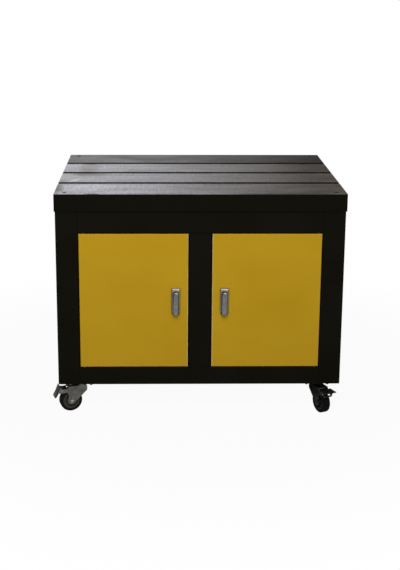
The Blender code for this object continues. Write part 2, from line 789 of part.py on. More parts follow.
def lock_lever(pin_y, bed_y):
    """The lever: a round head over the rotor and a tapered tip. Its origin is on its lifting pin."""
    back, front = bed_y - pin_y, bed_y - pin_y - LEVER_THICKNESS
    head = LEVER_HEAD_RADIUS
    outline = [
        *arc((0, 0), head, 0, 180, HALF_TURN),
        (-head, LEVER_TAPER - LEVER_REACH),
        (-LEVER_TIP_HALF, -LEVER_REACH),
        (LEVER_TIP_HALF, -LEVER_REACH),
        (head, LEVER_TAPER - LEVER_REACH),
    ]
    body = prism(outline, "Y", front, back)
    at_front = front + FIT_GAP
    rim = [edge for edge in body.edges if all(vert.co.y < at_front for vert in edge.verts)]
    eased(body, rim, LEVER_CHAMFER, 1)
    fork = STEM_WIDTH / 2 + STEM_CLEARANCE
    root = -STEM_RADIUS - STEM_CLEARANCE
    slot = block((-fork, root, root), (fork, 2 * back, 2 * head))
    bore = along_x(rod(LEVER_PIN_RADIUS + FIT_GAP, -2 * head, 2 * head, SMALL))
    return carved(body, cut=[slot, bore])


def latch_cam(cam_front):
    """A flat latch with a square hole, which points up while the latch is withdrawn."""
    hub, tip = CAM_HUB_RADIUS, CAM_TIP_RADIUS
    outline = [
        *arc((0, 0), hub, 180, 360, HALF_TURN),
        *arc((0, CAM_REACH - tip), tip, 0, 180, HALF_TURN),
    ]
    hole = TAIL_HALF + FIT_GAP
    square = block((-hole, 0, -hole), (hole, 2 * cam_front, hole))
    return carved(prism(outline, "Y", cam_front, cam_front + CAM_THICKNESS), cut=[square])


def handle_lock(side, panel, pivot):
    """The lock of one door. Places are from the lock's turning axis at the door's front face."""
    name = "left" if side < 0 else "right"
    axis = Vector((side * lock_x, cabinet_front, lock_z)) - pivot
    bed_y = -HOUSING_HEIGHT - LEVER_LIFT
    pin_y = bed_y - LEVER_PIN_DEPTH
    cam_front = JAMB_DEPTH + CAM_CLEARANCE
    node(f"{name}_lock_housing", lock_housing(), "zinc", axis, panel)
    nut_face = SHEET + FIT_GAP
    nut = along_y(rod(LOCK_NUT_RADIUS, nut_face, nut_face + LOCK_NUT_HEIGHT, HEXAGON))
    bore = along_y(rod(barrel_radius + FIT_GAP, 0, BARREL_LENGTH, ROUND))
    node(f"{name}_lock_nut", carved(nut, cut=[bore]), "dark_steel", axis, panel)
    rotor = node(f"{name}_lock_rotor", lock_rotor(pin_y, cam_front), "zinc", axis, panel)
    half = LEVER_HEAD_RADIUS - FIT_GAP
    pin = along_x(rod(LEVER_PIN_RADIUS, -half, half, SMALL))
    node(f"{name}_lever_pin", carved(pin), "dark_steel", (0, pin_y, 0), rotor)
    node(f"{name}_latch_cam", latch_cam(cam_front), "dark_steel", (0, 0, 0), rotor)
    node(f"{name}_lever", lock_lever(pin_y, bed_y), "zinc", (0, pin_y, 0), rotor)


def caster_plate():
    """The bolted plate, with the upper race and the king pin that carries the fork."""
    outline = rounded_rectangle(CASTER_PLATE_WIDTH, CASTER_PLATE_DEPTH, CASTER_PLATE_CORNER)
    body = prism(outline, "Z", caster_plate_bottom, caster_plate_top)
    middle = (caster_plate_bottom + caster_plate_top) / 2
    race = [
        (0, middle),
        (RACE_NECK_RADIUS, middle),
        (RACE_RADIUS, race_bottom + RACE_SKIRT),
        (RACE_RADIUS, race_bottom),
        (KING_PIN_RADIUS, race_bottom),
        (KING_PIN_RADIUS, king_head_bottom + KING_HEAD_HEIGHT),
        (KING_HEAD_RADIUS, king_head_bottom + KING_HEAD_HEIGHT),
        (KING_FOOT_RADIUS, king_head_bottom),
        (0, king_head_bottom),
    ]
    x = CASTER_PLATE_WIDTH / 2 - CASTER_HOLE_MARGIN
    y = CASTER_PLATE_DEPTH / 2 - CASTER_HOLE_MARGIN
    low, high = king_head_bottom, cabinet_bottom
    corners = [(i * x, j * y) for i in (-1, 1) for j in (-1, 1)]
    holes = [shifted(rod(CASTER_HOLE_RADIUS, low, high, SMALL), *corner) for corner in corners]
    return carved(body, joined=[turned(race, ROUND)], cut=holes)


def across(radius, spot):
    """A bar through the whole width of a caster, at a spot of its side view."""
    return shifted(along_y(rod(radius, -2 * fork_outside, 2 * fork_outside, SMALL)), spot.x, 0, spot.y)


def caster_fork():
    """A pressed fork: a crown, a leading web, two legs and two arms. +X is the way it trails."""
    leg = TRAIL + LEG_BEHIND
    fillet = (leg + ARM_FILLET, pedal_pivot.y - FORK_EAR - ARM_FILLET)
    ear = arc(pedal_pivot, FORK_EAR, -90, FORK_EAR_END, HALF_TURN)
    outline = [
        (leg, crown_top),
        (FORK_SHOULDER - FORK_LEAD, crown_top),
        (-FORK_LEAD, crown_top - FORK_SHOULDER),
        (-FORK_LEAD, crown_top - FORK_WEB_HEIGHT),
        *arc(axle_spot, AXLE_BOSS, AXLE_BOSS_START, 360, HALF_TURN),
        *arc(fillet, ARM_FILLET, 180, 90, QUARTER_TURN),
        *ear,
        (leg + ARM_STEP, ear[-1][1]),
    ]
    body = prism(outline, "Y", -fork_outside, fork_outside)
    hollow = block(
        (FORK_SHEET - FORK_LEAD, -fork_inside, 0),
        (2 * pedal_pivot.x, fork_inside, crown_bottom),
    )
    holes = [
        rod(KING_PIN_RADIUS + FIT_GAP, crown_bottom - FORK_SHEET, crown_top + FORK_SHEET, ROUND),
        across(AXLE_RADIUS + FIT_GAP, axle_spot),
        across(PEDAL_STUD_RADIUS + FIT_GAP, pedal_pivot),
        across(FORK_HOLE_RADIUS, Vector((TRAIL + FORK_HOLE_BEHIND, pedal_pivot.y))),
    ]
    return carved(body, cut=[hollow, *holes])


def tyre():
    """A tyre with a crowned tread, spun about the axle."""
    half, seat = WHEEL_WIDTH / 2, wheel_radius - TYRE_THICKNESS
    profile = [
        (seat, half - RIM_INSET / 2),
        (wheel_radius - TYRE_SHOULDER, half),
        (wheel_radius - TYRE_ROUND_DROP, TYRE_ROUND_HALF),
        (wheel_radius, TYRE_TREAD_HALF),
    ]
    profile += [(radius, -height) for radius, height in reversed(profile)]
    return carved(along_y(turned(profile, FINE)))


def wheel_core():
    """A wheel centre with a hub, a thin web and a rim that the tyre is moulded on."""
    hub = fork_inside - HUB_END_GAP
    rim = wheel_radius - TYRE_THICKNESS - FIT_GAP
    half = WHEEL_WIDTH / 2 - RIM_INSET
    profile = [
        (AXLE_RADIUS + FIT_GAP, hub),
        (HUB_RADIUS, hub),
        (HUB_RADIUS, WEB_HALF),
        (rim - RIM_DEPTH, WEB_HALF),
        (rim - RIM_DEPTH, half),
        (rim, half),
    ]
    profile += [(radius, -height) for radius, height in reversed(profile)]
    return carved(along_y(turned(profile, ROUND)))


def axle_bolt():
    """A hexagon bolt through the fork and the wheel, with its nut run up against the far leg."""
    face = fork_outside + FIT_GAP
    outer = face + AXLE_HEAD_HEIGHT
    shank = along_y(rod(AXLE_RADIUS, -face - AXLE_END, outer + AXLE_END, SMALL))
    head = along_y(rod(AXLE_HEAD_RADIUS, -outer, -face, HEXAGON))
    nut = along_y(rod(AXLE_HEAD_RADIUS, face, outer, HEXAGON))
    return carved(shank, joined=[head, nut])


def brake_pedal(pressed):
    """A stamped pedal about its pivot: a foot plate, two cheeks and the bar that grips the tyre."""
    rise = FORK_EAR + PEDAL_SWEEP_GAP
    toe_rise = rise + (PEDAL_TOE - PEDAL_BEND) * math.tan(PEDAL_TOE_ANGLE)
    under = [(-PEDAL_HEEL, rise), (PEDAL_BEND, rise), (PEDAL_TOE, toe_rise)]
    over = [(x, z + PEDAL_SHEET) for x, z in reversed(under)]
    plate = prism(under + over, "Y", -PEDAL_HALF_WIDTH, PEDAL_HALF_WIDTH)
    past_bend = PEDAL_BEND + FIT_GAP
    toe = [edge for edge in plate.edges if all(vert.co.x > past_bend for vert in edge.verts)]
    corners = [edge for edge in toe if edge.verts[0].co.y * edge.verts[1].co.y > 0]
    eased(plate, corners, PEDAL_CORNER, QUARTER_TURN)

    to_axle = axle_spot - pedal_pivot
    shoe_reach = to_axle.length - wheel_radius - SHOE_GAP - SHOE_RADIUS
    shoe = to_axle.normalized() * shoe_reach
    shoe.rotate(Matrix.Rotation(PEDAL_TRAVEL, 2))
    shoe_end = SHOE_RADIUS + SHOE_GAP / 2
    nose = math.degrees(math.atan2(shoe.y, shoe.x))
    level = rise + PEDAL_SHEET / 2
    cheek = [
        (PEDAL_BEND, level),
        (-PEDAL_CHEEK_HALF, level),
        (-PEDAL_CHEEK_HALF, 0),
        *arc(shoe, shoe_end, nose - 90, nose + 90, HALF_TURN // 2),
    ]
    outer = fork_inside - PEDAL_SIDE_GAP
    inner = outer - PEDAL_SHEET
    middle = (inner + outer) / 2
    stud_end = fork_outside + PEDAL_STUD_END
    joined = [shifted(along_y(rod(SHOE_RADIUS, -middle, middle, SMALL)), shoe.x, 0, shoe.y)]
    for near, far, end in ((inner, outer, stud_end), (-outer, -inner, -stud_end)):
        root = math.copysign(middle, end)
        joined.append(prism(cheek, "Y", near, far))
        joined.append(along_y(rod(PEDAL_STUD_RADIUS, min(root, end), max(root, end), SMALL)))
    mesh = carved(plate, joined=joined)
    if pressed:
        mesh.transform(Matrix.Rotation(PEDAL_TRAVEL, 4, "Y"))
    return mesh


def casters():
    """Four swivel casters. The front two have brake pedals, of which the left one is pressed."""
    plate, fork, rubber = caster_plate(), caster_fork(), tyre()
    core, axle = wheel_core(), axle_bolt()
    for where, heading in CASTER_HEADINGS.items():
        inset_x, inset_y = REAR_CASTER_INSET if "rear" in where else FRONT_CASTER_INSET
        x = math.copysign(cabinet_side - inset_x, 1 if "right" in where else -1)
        y = math.copysign(cabinet_back - inset_y, 1 if "rear" in where else -1)
        node(f"{where}_caster_plate", plate, "bright_zinc", (x, y, 0))
        swivel = node(f"{where}_caster_fork", fork, "bright_zinc", (x, y, 0), None, heading)
        centre = (axle_spot.x, 0, axle_spot.y)
        node(f"{where}_axle_bolt", axle, "bright_zinc", centre, swivel)
        node(f"{where}_wheel_core", core, "grey_plastic", centre, swivel)
        node(f"{where}_tyre", rubber, "rubber", centre, swivel)
        if where in PEDAL_PRESSED:
            pedal = brake_pedal(PEDAL_PRESSED[where])
            pivot = (pedal_pivot.x, 0, pedal_pivot.y)
            node(f"{where}_brake_pedal", pedal, "bright_zinc", pivot, swivel)


remove_everything()
FINISHES = {
    "iron": finish("machined iron", (0.20, 0.20, 0.21), 0.42, 0.9),
    "black_paint": finish("black powder coat", (0.007, 0.0065, 0.005), 0.5, 0.0),
    "yellow_paint": finish("yellow powder coat", (0.43, 0.25, 0.012), 0.45, 0.0),
    "zinc": finish("zinc casting", (0.22, 0.22, 0.22), 0.4, 0.9),
    "dark_steel": finish("dark steel", (0.05, 0.05, 0.05), 0.45, 0.9),
    "brass": finish("bronze bush", (0.45, 0.30, 0.12), 0.4, 0.9),
    "bright_zinc": finish("zinc plate", (0.30, 0.30, 0.30), 0.38, 0.9),
    "grey_plastic": finish("grey nylon", (0.05, 0.05, 0.05), 0.5, 0.0),
    "rubber": finish("black rubber", (0.012, 0.012, 0.012), 0.75, 0.0),
}
table_top()
top_screws()
side_panels()
front_frame()
inner_panels()
for hand in (-1, 1):
    hung_door, hinge = door(hand)
    handle_lock(hand, hung_door, hinge)
casters()
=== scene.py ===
import json
import math

import bmesh
import bpy
from mathutils import Matrix, Vector


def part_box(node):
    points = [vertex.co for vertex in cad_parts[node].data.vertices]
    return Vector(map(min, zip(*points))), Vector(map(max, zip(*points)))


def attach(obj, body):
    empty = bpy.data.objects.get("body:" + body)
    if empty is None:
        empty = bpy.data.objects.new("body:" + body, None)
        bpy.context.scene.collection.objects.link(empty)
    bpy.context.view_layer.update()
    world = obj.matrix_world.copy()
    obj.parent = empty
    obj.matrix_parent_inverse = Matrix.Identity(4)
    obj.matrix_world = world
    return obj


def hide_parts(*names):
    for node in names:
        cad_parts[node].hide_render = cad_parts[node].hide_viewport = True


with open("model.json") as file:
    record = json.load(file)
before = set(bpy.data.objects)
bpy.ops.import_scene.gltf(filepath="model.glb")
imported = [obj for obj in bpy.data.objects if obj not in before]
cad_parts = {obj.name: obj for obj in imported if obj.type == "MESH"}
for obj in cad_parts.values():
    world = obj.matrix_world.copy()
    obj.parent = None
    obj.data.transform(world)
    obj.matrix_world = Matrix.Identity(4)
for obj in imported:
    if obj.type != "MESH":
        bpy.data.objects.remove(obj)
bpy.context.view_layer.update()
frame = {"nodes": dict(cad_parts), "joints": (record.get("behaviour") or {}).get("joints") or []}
joints = {joint["name"]: joint for joint in frame["joints"]}

# Cabinet shell
# Folded steel sheet: two sides with stiles, rails, a centre post, a floor tray, a back and a shelf,
# spot-welded together and powder-coated black, with the fine orange peel that the powder leaves.
BLACK = (0.0053, 0.0048, 0.0028, 1)
# Worn black paint; on the table top it also darkens the slot margins as painted shade.
WORN_BLACK_AND_SHADE = (0.0067, 0.0062, 0.0042, 1)
BLACK_GLOSS = 0.03
BLACK_ROUGH = 0.46
BLACK_ROUGHER = 0.14
EVEN = (1, 1, 1)
BLACK_PATCHES = (7, EVEN, 4, 0.35, 0.75)
FINE_DETAIL = 2
ORANGE_PEEL = 520
PEEL_DEPTH = 0.00012


class Tone:
    """A value that varies over a surface: the output socket of a node in one material."""

    def __init__(self, tree, socket=None):
        self.tree = tree
        self.socket = socket

    def node(self, kind, settings, inputs, output=0):
        """Adds a node, with its settings first and then the values or links of its sockets."""
        made = self.tree.nodes.new("ShaderNode" + kind)
        for name, value in settings.items():
            setattr(made, name, value)
        for name, value in inputs.items():
            if isinstance(value, Tone):
                self.tree.links.new(value.socket, made.inputs[name])
            else:
                made.inputs[name].default_value = value
        return Tone(self.tree, made.outputs[output])

    def math(self, operation, *values):
        return self.node("Math", {"operation": operation}, dict(enumerate(values)))

    def __add__(self, other):
        return self.math("ADD", self, other)

    def __radd__(self, other):
        return self.math("ADD", other, self)

    def __sub__(self, other):
        return self.math("SUBTRACT", self, other)

    def __rsub__(self, other):
        return self.math("SUBTRACT", other, self)

    def __mul__(self, other):
        return self.math("MULTIPLY", self, other)

    def __rmul__(self, other):
        return self.math("MULTIPLY", other, self)

    def __gt__(self, other):
        return self.math("GREATER_THAN", self, other)

    def __abs__(self):
        return self.math("ABSOLUTE", self)


def new_finish(name):
    """A new material, and the place on the surface that its patterns follow."""
    material = bpy.data.materials.new(name)
    material.use_nodes = True
    place = Tone(material.node_tree).node("TexCoord", {}, {}, output="Object")
    return material, place


def grain(place, scale, stretch=EVEN, detail=FINE_DETAIL):
    """Soft random mottling from 0 to 1."""
    spread = place.node("Mapping", {}, {"Vector": place, "Scale": stretch})
    return place.node("TexNoise", {}, {"Vector": spread, "Scale": scale, "Detail": detail})


def eased(tone, low, high):
    """The tone rescaled, so that low becomes 0 and high becomes 1."""
    return tone.node("MapRange", {"clamp": True}, {"Value": tone, "From Min": low, "From Max": high})


def patches(place, scale, stretch, detail, low, high):
    """Random patches: mottling whose values from low to high are spread from 0 to 1."""
    return eased(grain(place, scale, stretch, detail), low, high)


def mixed(amount, under, over):
    """A colour that goes from one to another."""
    return amount.node("Mix", {"data_type": "RGBA"}, {0: amount, 6: under, 7: over}, output=2)


def relief(height, distance):
    """A bumped normal."""
    return height.node("Bump", {}, {"Strength": 1, "Distance": distance, "Height": height})


def lay(material, fixed, varying):
    """Sets what is the same all over on the shader's own sockets, and links what varies."""
    tree = material.node_tree
    shader = tree.nodes["Principled BSDF"]
    for name, value in fixed.items():
        shader.inputs[name].default_value = value
    for name, tone in varying.items():
        tree.links.new(tone.socket, shader.inputs[name])
    return material


def coat(material, *names):
    """Gives CAD nodes a finish."""
    for name in names:
        frame["nodes"][name].material_slots[0].material = material


def black_powder_coat():
    """Black paint that is a little worn in patches."""
    material, place = new_finish("black powder coat")
    worn = patches(place, *BLACK_PATCHES)
    peel = grain(place, ORANGE_PEEL)
    return lay(
        material,
        {"Specular IOR Level": BLACK_GLOSS},
        {
            "Base Color": mixed(worn, BLACK, WORN_BLACK_AND_SHADE),
            "Roughness": BLACK_ROUGH + BLACK_ROUGHER * worn,
            "Normal": relief(peel, PEEL_DEPTH),
        },
    )


black_paint = black_powder_coat()
coat(
    black_paint,
    "left_side_panel",
    "right_side_panel",
    "front_top_rail",
    "front_bottom_rail",
    "centre_post",
    "floor_tray",
    "back_panel",
    "shelf",
    "left_shelf_rail",
    "right_shelf_rail",
)

# Casters
# Bought swivel casters of pressed zinc-plated steel, each bolted under a corner of the floor tray.
# Rubber tyres are moulded on dark nylon centres and the front two have brakes. The right two take darker
# copies of each finish, as painted shade.
ZINC_PLATE = (0.300, 0.298, 0.280, 1)
ZINC_DULL = (0.158, 0.156, 0.140, 1)
# Lighter zinc for the axle bolts and pedal rivets: a painted glint.
ZINC_PAINTED_GLINT = (0.66, 0.66, 0.65, 1)
ZINC_STAIN = (0.20, 0.140, 0.085, 1)
# Darker zinc, rubber and nylon for the right casters are painted shade.
ZINC_PAINTED_SHADE = (0.080, 0.078, 0.072, 1)
ZINC_PAINTED_SHADE_DARK = (0.040, 0.038, 0.034, 1)
ZINC_PAINTED_SHADE_STAIN = (0.050, 0.040, 0.030, 1)
ZINC_METALLIC = 0.95
ZINC_DULLED = (45, EVEN, 4, 0.3, 0.7)
ZINC_STAINED = (28, EVEN, 3, 0.5, 0.75)
ZINC_STAIN_SHARE = 0.7
ZINC_ROUGH = 0.30
ZINC_DULL_ROUGHER = 0.16
ZINC_STAIN_ROUGHER = 0.10
ZINC_GRAIN = 900
ZINC_GRAIN_DEPTH = 0.00004
RUBBER = (0.0050, 0.0045, 0.0038, 1)
RUBBER_DUSTY = (0.0130, 0.0118, 0.0100, 1)
RUBBER_PAINTED_SHADE = (0.004, 0.004, 0.0035, 1)
RUBBER_GLOSS = 0.14
RUBBER_PAINTED_SHADE_GLOSS = 0.08
RUBBER_DUST = (60, EVEN, 4, 0.4, 0.8)
RUBBER_ROUGH = 0.55
RUBBER_ROUGHER = 0.25
RUBBER_GRAIN = 1100
RUBBER_GRAIN_DEPTH = 0.00006
NYLON = (0.034, 0.032, 0.029, 1)
NYLON_SCUFFED = (0.065, 0.062, 0.057, 1)
NYLON_PAINTED_SHADE = (0.008, 0.0075, 0.0065, 1)
NYLON_GLOSS = 0.4
NYLON_PAINTED_SHADE_GLOSS = 0.1
NYLON_SCUFFS = (80, EVEN, 4, 0.45, 0.75)
NYLON_ROUGH = 0.34
NYLON_ROUGHER = 0.2
NYLON_SCUFF_DEPTH = 0.00005
TYRE_RADIUS = 0.040
TYRE_HALF_WIDTH = 0.0135
TYRE_SHOULDER = 0.0045
TYRE_SHOULDER_FROM = 80
TYRE_SHOULDER_TO = 12
TYRE_SHOULDER_STEPS = 6
TYRE_SEAT = 0.029
TYRE_BEAD = 0.0125
TYRE_WALL = 0.002
TYRE_WALL_DROP = 0.0002
TYRE_TREAD_SHARE = 0.35
CORE_RIM = 0.0288
CORE_HALF_WIDTH = 0.0120
CORE_LIP = 0.0235
CORE_LIP_EDGE = 0.0008
CORE_LIP_FROM = 150
CORE_WEB = 0.0040
CORE_RING = 0.0165
CORE_RING_HEIGHT = 0.0075
CORE_RING_HALF_FOOT = 0.002
CORE_RING_HALF_TOP = 0.0012
CORE_HUB = 0.0100
CORE_HUB_END = 0.0154
CORE_BORE = 0.0043
CORE_FILLET = 0.001
CORE_EDGE_STEPS = 3
WHEEL_STEPS = 64
ROUND_STEPS = 24
TRAY_SHEET = 0.002
PLATE_THICKNESS = 0.003
CASTER_BOLT_X = 0.037
CASTER_BOLT_Y = 0.025
NUT_RADIUS = 0.0075
NUT_HEIGHT = 0.0055
BOLT_RADIUS = 0.0040
BOLT_END = 0.0030
BOLT_POINT = 0.0008
BOLT_STEPS = 20
BOLT_HEAD_RADIUS = 0.0085
BOLT_HEAD_HEIGHT = 0.0035
BOLT_DOME = ((0, 1), (0.6, 0.8), (1, 0.25), (1, 0), (0, 0))
WASHER_RADIUS = 0.0085
WASHER_THICKNESS = 0.0012
RIVET_RADIUS = 0.0043
RIVET_HEIGHT = 0.0016
RIVET_DOME = ((0, 1), (0.6, 0.85), (1, 0.2), (1, 0), (0, 0))
FORK_FACE = 0.0188
AXLE_HEAD_HEIGHT = 0.0050
AXLE_END = 0.0065
AXLE_RADIUS = 0.0039
AXLE_TIP_RADIUS = 0.0030
HEX_SIDES = 6
HEX_CHAMFER = 0.12
HEX_CHAMFER_STEPS = 2
METAL_EDGE = 0.0005
METAL_EDGE_STEPS = 3
SHARP_EDGE = math.radians(35)
SHADED_EDGE = math.radians(32)
FLAT_FACE = math.radians(1)
COPY_MERGE = 1e-5
SPIN_MERGE = 1e-6


def zinc_plate(name, clean, tarnished, stained):
    """Zinc plating that is dulled and stained in patches."""
    material, place = new_finish(name)
    dull = patches(place, *ZINC_DULLED)
    stain = patches(place, *ZINC_STAINED)
    fine = grain(place, ZINC_GRAIN)
    return lay(
        material,
        {"Metallic": ZINC_METALLIC},
        {
            "Base Color": mixed(ZINC_STAIN_SHARE * stain, mixed(dull, clean, tarnished), stained),
            "Roughness": ZINC_ROUGH + ZINC_DULL_ROUGHER * dull + ZINC_STAIN_ROUGHER * stain,
            "Normal": relief(fine, ZINC_GRAIN_DEPTH),
        },
    )


def tyre_rubber(name, clean, dusty, gloss):
    """Black rubber with dust in patches."""
    material, place = new_finish(name)
    dust = patches(place, *RUBBER_DUST)
    fine = grain(place, RUBBER_GRAIN)
    return lay(
        material,
        {"Specular IOR Level": gloss},
        {
            "Base Color": mixed(dust, clean, dusty),
            "Roughness": RUBBER_ROUGH + RUBBER_ROUGHER * dust,
            "Normal": relief(fine, RUBBER_GRAIN_DEPTH),
        },
    )


def dark_nylon(name, plain, scuffed, gloss):
    """Moulded nylon with pale scuffs."""
    material, place = new_finish(name)
    scuffs = patches(place, *NYLON_SCUFFS)
    return lay(
        material,
        {"Specular IOR Level": gloss},
        {
            "Base Color": mixed(scuffs, plain, scuffed),
            "Roughness": NYLON_ROUGH + NYLON_ROUGHER * scuffs,
            "Normal": relief(scuffs, NYLON_SCUFF_DEPTH),
        },
    )


def piece(name, bm, material, body, slot, *nodes):
    """A finished piece, with the body it rides on and the CAD nodes it stands for."""
    mesh = bpy.data.meshes.new(name)
    bm.to_mesh(mesh)
    bm.free()
    mesh.materials.append(material)
    mesh.shade_smooth()
    mesh.set_sharp_from_angle(angle=SHADED_EDGE)
    obj = bpy.data.objects.new(name, mesh)
    bpy.context.scene.collection.objects.link(obj)
    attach(obj, body)
    if nodes:
        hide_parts(*nodes)


def turned(profile, steps, matrix):
    """A (radius, height) profile spun about its own Z axis and then set in place."""
    bm = bmesh.new()
    verts = [bm.verts.new((radius, 0, height)) for radius, height in profile]
    edges = [bm.edges.new(pair) for pair in zip(verts, verts[1:])]
    if profile[0][0] or profile[-1][0]:
        edges.append(bm.edges.new((verts[-1], verts[0])))
    bmesh.ops.spin(
        bm, geom=verts + edges, axis=(0, 0, 1), cent=(0, 0, 0), angle=math.tau, steps=steps, use_merge=True
    )
    bmesh.ops.remove_doubles(bm, verts=bm.verts, dist=SPIN_MERGE)
    bmesh.ops.recalc_face_normals(bm, faces=bm.faces)
    bmesh.ops.transform(bm, matrix=matrix, verts=bm.verts)
    return bm


def arc(centre, radius, start, end, steps):
    """Points on an arc of a profile, with angles in degrees."""
    turns = [math.radians(start + (end - start) * i / steps) for i in range(steps + 1)]
    return [(centre[0] + radius * math.cos(turn), centre[1] + radius * math.sin(turn)) for turn in turns]


def both_sides(half):
    """A wheel's profile from one face to the other, from its half above the middle."""
    return half + [(radius, -height) for radius, height in reversed(half)]


def domed(shares, radius, height):
    """A round head's profile, from shares of its radius and height."""
    return [(radius * out, height * up) for out, up in shares]


def restored(node):
    """A copy of a CAD node, with its flat faces whole again."""
    bm = bmesh.new()
    bm.from_mesh(frame["nodes"][node].data)
    bmesh.ops.remove_doubles(bm, verts=bm.verts, dist=COPY_MERGE)
    bmesh.ops.dissolve_limit(bm, angle_limit=FLAT_FACE, verts=bm.verts, edges=bm.edges)
    return bm


def rounded(bm, edge, front=math.inf):
    """Rounds a solid's sharp edges, all of them or those in front of a place."""
    near = [line for line in bm.edges if all(vert.co.y < front for vert in line.verts)]
    sharp = [line for line in near if line.is_manifold and line.calc_face_angle() > SHARP_EDGE]
    bmesh.ops.bevel(
        bm,
        geom=sharp,
        offset=edge,
        segments=METAL_EDGE_STEPS,
        profile=0.5,
        affect="EDGES",
        clamp_overlap=True,
        material=-1,
    )
    return bm


def joined(*parts):
    """Several solids as one mesh."""
    whole = bmesh.new()
    for part in parts:
        mesh = bpy.data.meshes.new("part")
        part.to_mesh(mesh)
        part.free()
        whole.from_mesh(mesh)
        bpy.data.meshes.remove(mesh)
    return whole


def chamfered_hexagon(radius, low, high, matrix):
    """A hexagon nut or bolt head, with its corners turned down at the outer end."""
    bm = bmesh.new()
    middle = (low + high) / 2
    bmesh.ops.create_cone(
        bm, cap_ends=True, segments=HEX_SIDES, radius1=radius, radius2=radius, depth=high - low
    )
    bmesh.ops.translate(bm, vec=(0, 0, middle), verts=bm.verts)
    rim = [line for line in bm.edges if all(vert.co.z > middle for vert in line.verts)]
    bmesh.ops.bevel(
        bm,
        geom=rim,
        offset=radius * HEX_CHAMFER,
        segments=HEX_CHAMFER_STEPS,
        profile=0.5,
        affect="EDGES",
        material=-1,
    )
    bmesh.ops.transform(bm, matrix=matrix, verts=bm.verts)
    return bm


def wheel_place(where):
    """The wheel's place as a matrix, with Z along the axle and X the way the wheel trails."""
    joint = joints[f"{where}_wheel_spin"]
    axle = Vector(joint["axis"]).normalized()
    ahead = axle.cross(Vector((0, 0, 1)))
    turn = Matrix((ahead, axle.cross(ahead), axle)).transposed().to_4x4()
    return Matrix.Translation(joint["pos_m"]) @ turn


def tyre(place):
    """A solid tyre whose sides slope in at the bead, with round shoulders and a flat tread."""
    shoulder = (TYRE_RADIUS - TYRE_SHOULDER, TYRE_HALF_WIDTH - TYRE_SHOULDER)
    half = [
        (TYRE_SEAT, TYRE_BEAD),
        (TYRE_SEAT + TYRE_WALL, TYRE_HALF_WIDTH - TYRE_WALL_DROP),
        *arc(shoulder, TYRE_SHOULDER, TYRE_SHOULDER_FROM, TYRE_SHOULDER_TO, TYRE_SHOULDER_STEPS),
        (TYRE_RADIUS, TYRE_HALF_WIDTH * TYRE_TREAD_SHARE),
    ]
    return turned(both_sides(half), WHEEL_STEPS, place)


def wheel_core(place):
    """A moulded centre: a hub, a web with a stiffening ring, and a lipped rim."""
    hub_edge = (CORE_HUB - CORE_FILLET, CORE_HUB_END - CORE_FILLET)
    lip_edge = (CORE_LIP + CORE_FILLET, CORE_HALF_WIDTH - CORE_LIP_EDGE)
    half = [
        (CORE_BORE, CORE_HUB_END),
        *arc(hub_edge, CORE_FILLET, 90, 0, CORE_EDGE_STEPS),
        (CORE_HUB, CORE_WEB + CORE_FILLET),
        (CORE_HUB + CORE_FILLET, CORE_WEB),
        (CORE_RING - CORE_RING_HALF_FOOT, CORE_WEB),
        (CORE_RING - CORE_RING_HALF_TOP, CORE_RING_HEIGHT),
        (CORE_RING + CORE_RING_HALF_TOP, CORE_RING_HEIGHT),
        (CORE_RING + CORE_RING_HALF_FOOT, CORE_WEB),
        (CORE_LIP - CORE_FILLET, CORE_WEB),
        (CORE_LIP, CORE_HALF_WIDTH - CORE_LIP_EDGE),
        *arc(lip_edge, CORE_LIP_EDGE, CORE_LIP_FROM, 90, CORE_EDGE_STEPS),
        (CORE_RIM, CORE_HALF_WIDTH),
    ]
    return turned(both_sides(half), WHEEL_STEPS, place)


def axle_bolt(place):
    """A bolt through the fork, with a hexagon head and a nut on the outer faces of the legs."""
    outer, end = FORK_FACE + AXLE_HEAD_HEIGHT, FORK_FACE + AXLE_END
    nut = chamfered_hexagon(NUT_RADIUS, FORK_FACE, outer, place)
    head = chamfered_hexagon(NUT_RADIUS, FORK_FACE, outer, place @ Matrix.Rotation(math.pi, 4, "X"))
    shank = [
        (0, end),
        (AXLE_TIP_RADIUS, end),
        (AXLE_RADIUS, end - AXLE_RADIUS + AXLE_TIP_RADIUS),
        (AXLE_RADIUS, -FORK_FACE),
        (0, -FORK_FACE),
    ]
    return joined(head, nut, turned(shank, ROUND_STEPS, place))


def plate_bolts(where):
    """Four bolts with domed heads on the tray, and washers and nuts under the caster's plate."""
    low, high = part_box(f"{where}_caster_plate")
    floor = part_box("floor_tray")[0].z + TRAY_SHEET
    under = high.z - PLATE_THICKNESS
    middle = (low + high) / 2
    nut_end = WASHER_THICKNESS + NUT_HEIGHT
    end = nut_end + BOLT_END
    washer = [
        (BOLT_RADIUS, 0),
        (WASHER_RADIUS, 0),
        (WASHER_RADIUS, WASHER_THICKNESS),
        (BOLT_RADIUS, WASHER_THICKNESS),
    ]
    shank = [
        (0, end),
        (BOLT_RADIUS - BOLT_POINT, end),
        (BOLT_RADIUS, end - BOLT_POINT),
        (BOLT_RADIUS, 0),
        (0, 0),
    ]
    dome = domed(BOLT_DOME, BOLT_HEAD_RADIUS, BOLT_HEAD_HEIGHT)
    solids = []
    for x in (-CASTER_BOLT_X, CASTER_BOLT_X):
        for y in (-CASTER_BOLT_Y, CASTER_BOLT_Y):
            hole = Matrix.Translation((middle.x + x, middle.y + y, 0))
            down = hole @ Matrix.Translation((0, 0, under)) @ Matrix.Rotation(math.pi, 4, "X")
            solids.append(turned(washer, ROUND_STEPS, down))
            solids.append(chamfered_hexagon(NUT_RADIUS, WASHER_THICKNESS, nut_end, down))
            solids.append(turned(shank, BOLT_STEPS, down))
            solids.append(turned(dome, ROUND_STEPS, hole @ Matrix.Translation((0, 0, floor))))
    return joined(*solids)


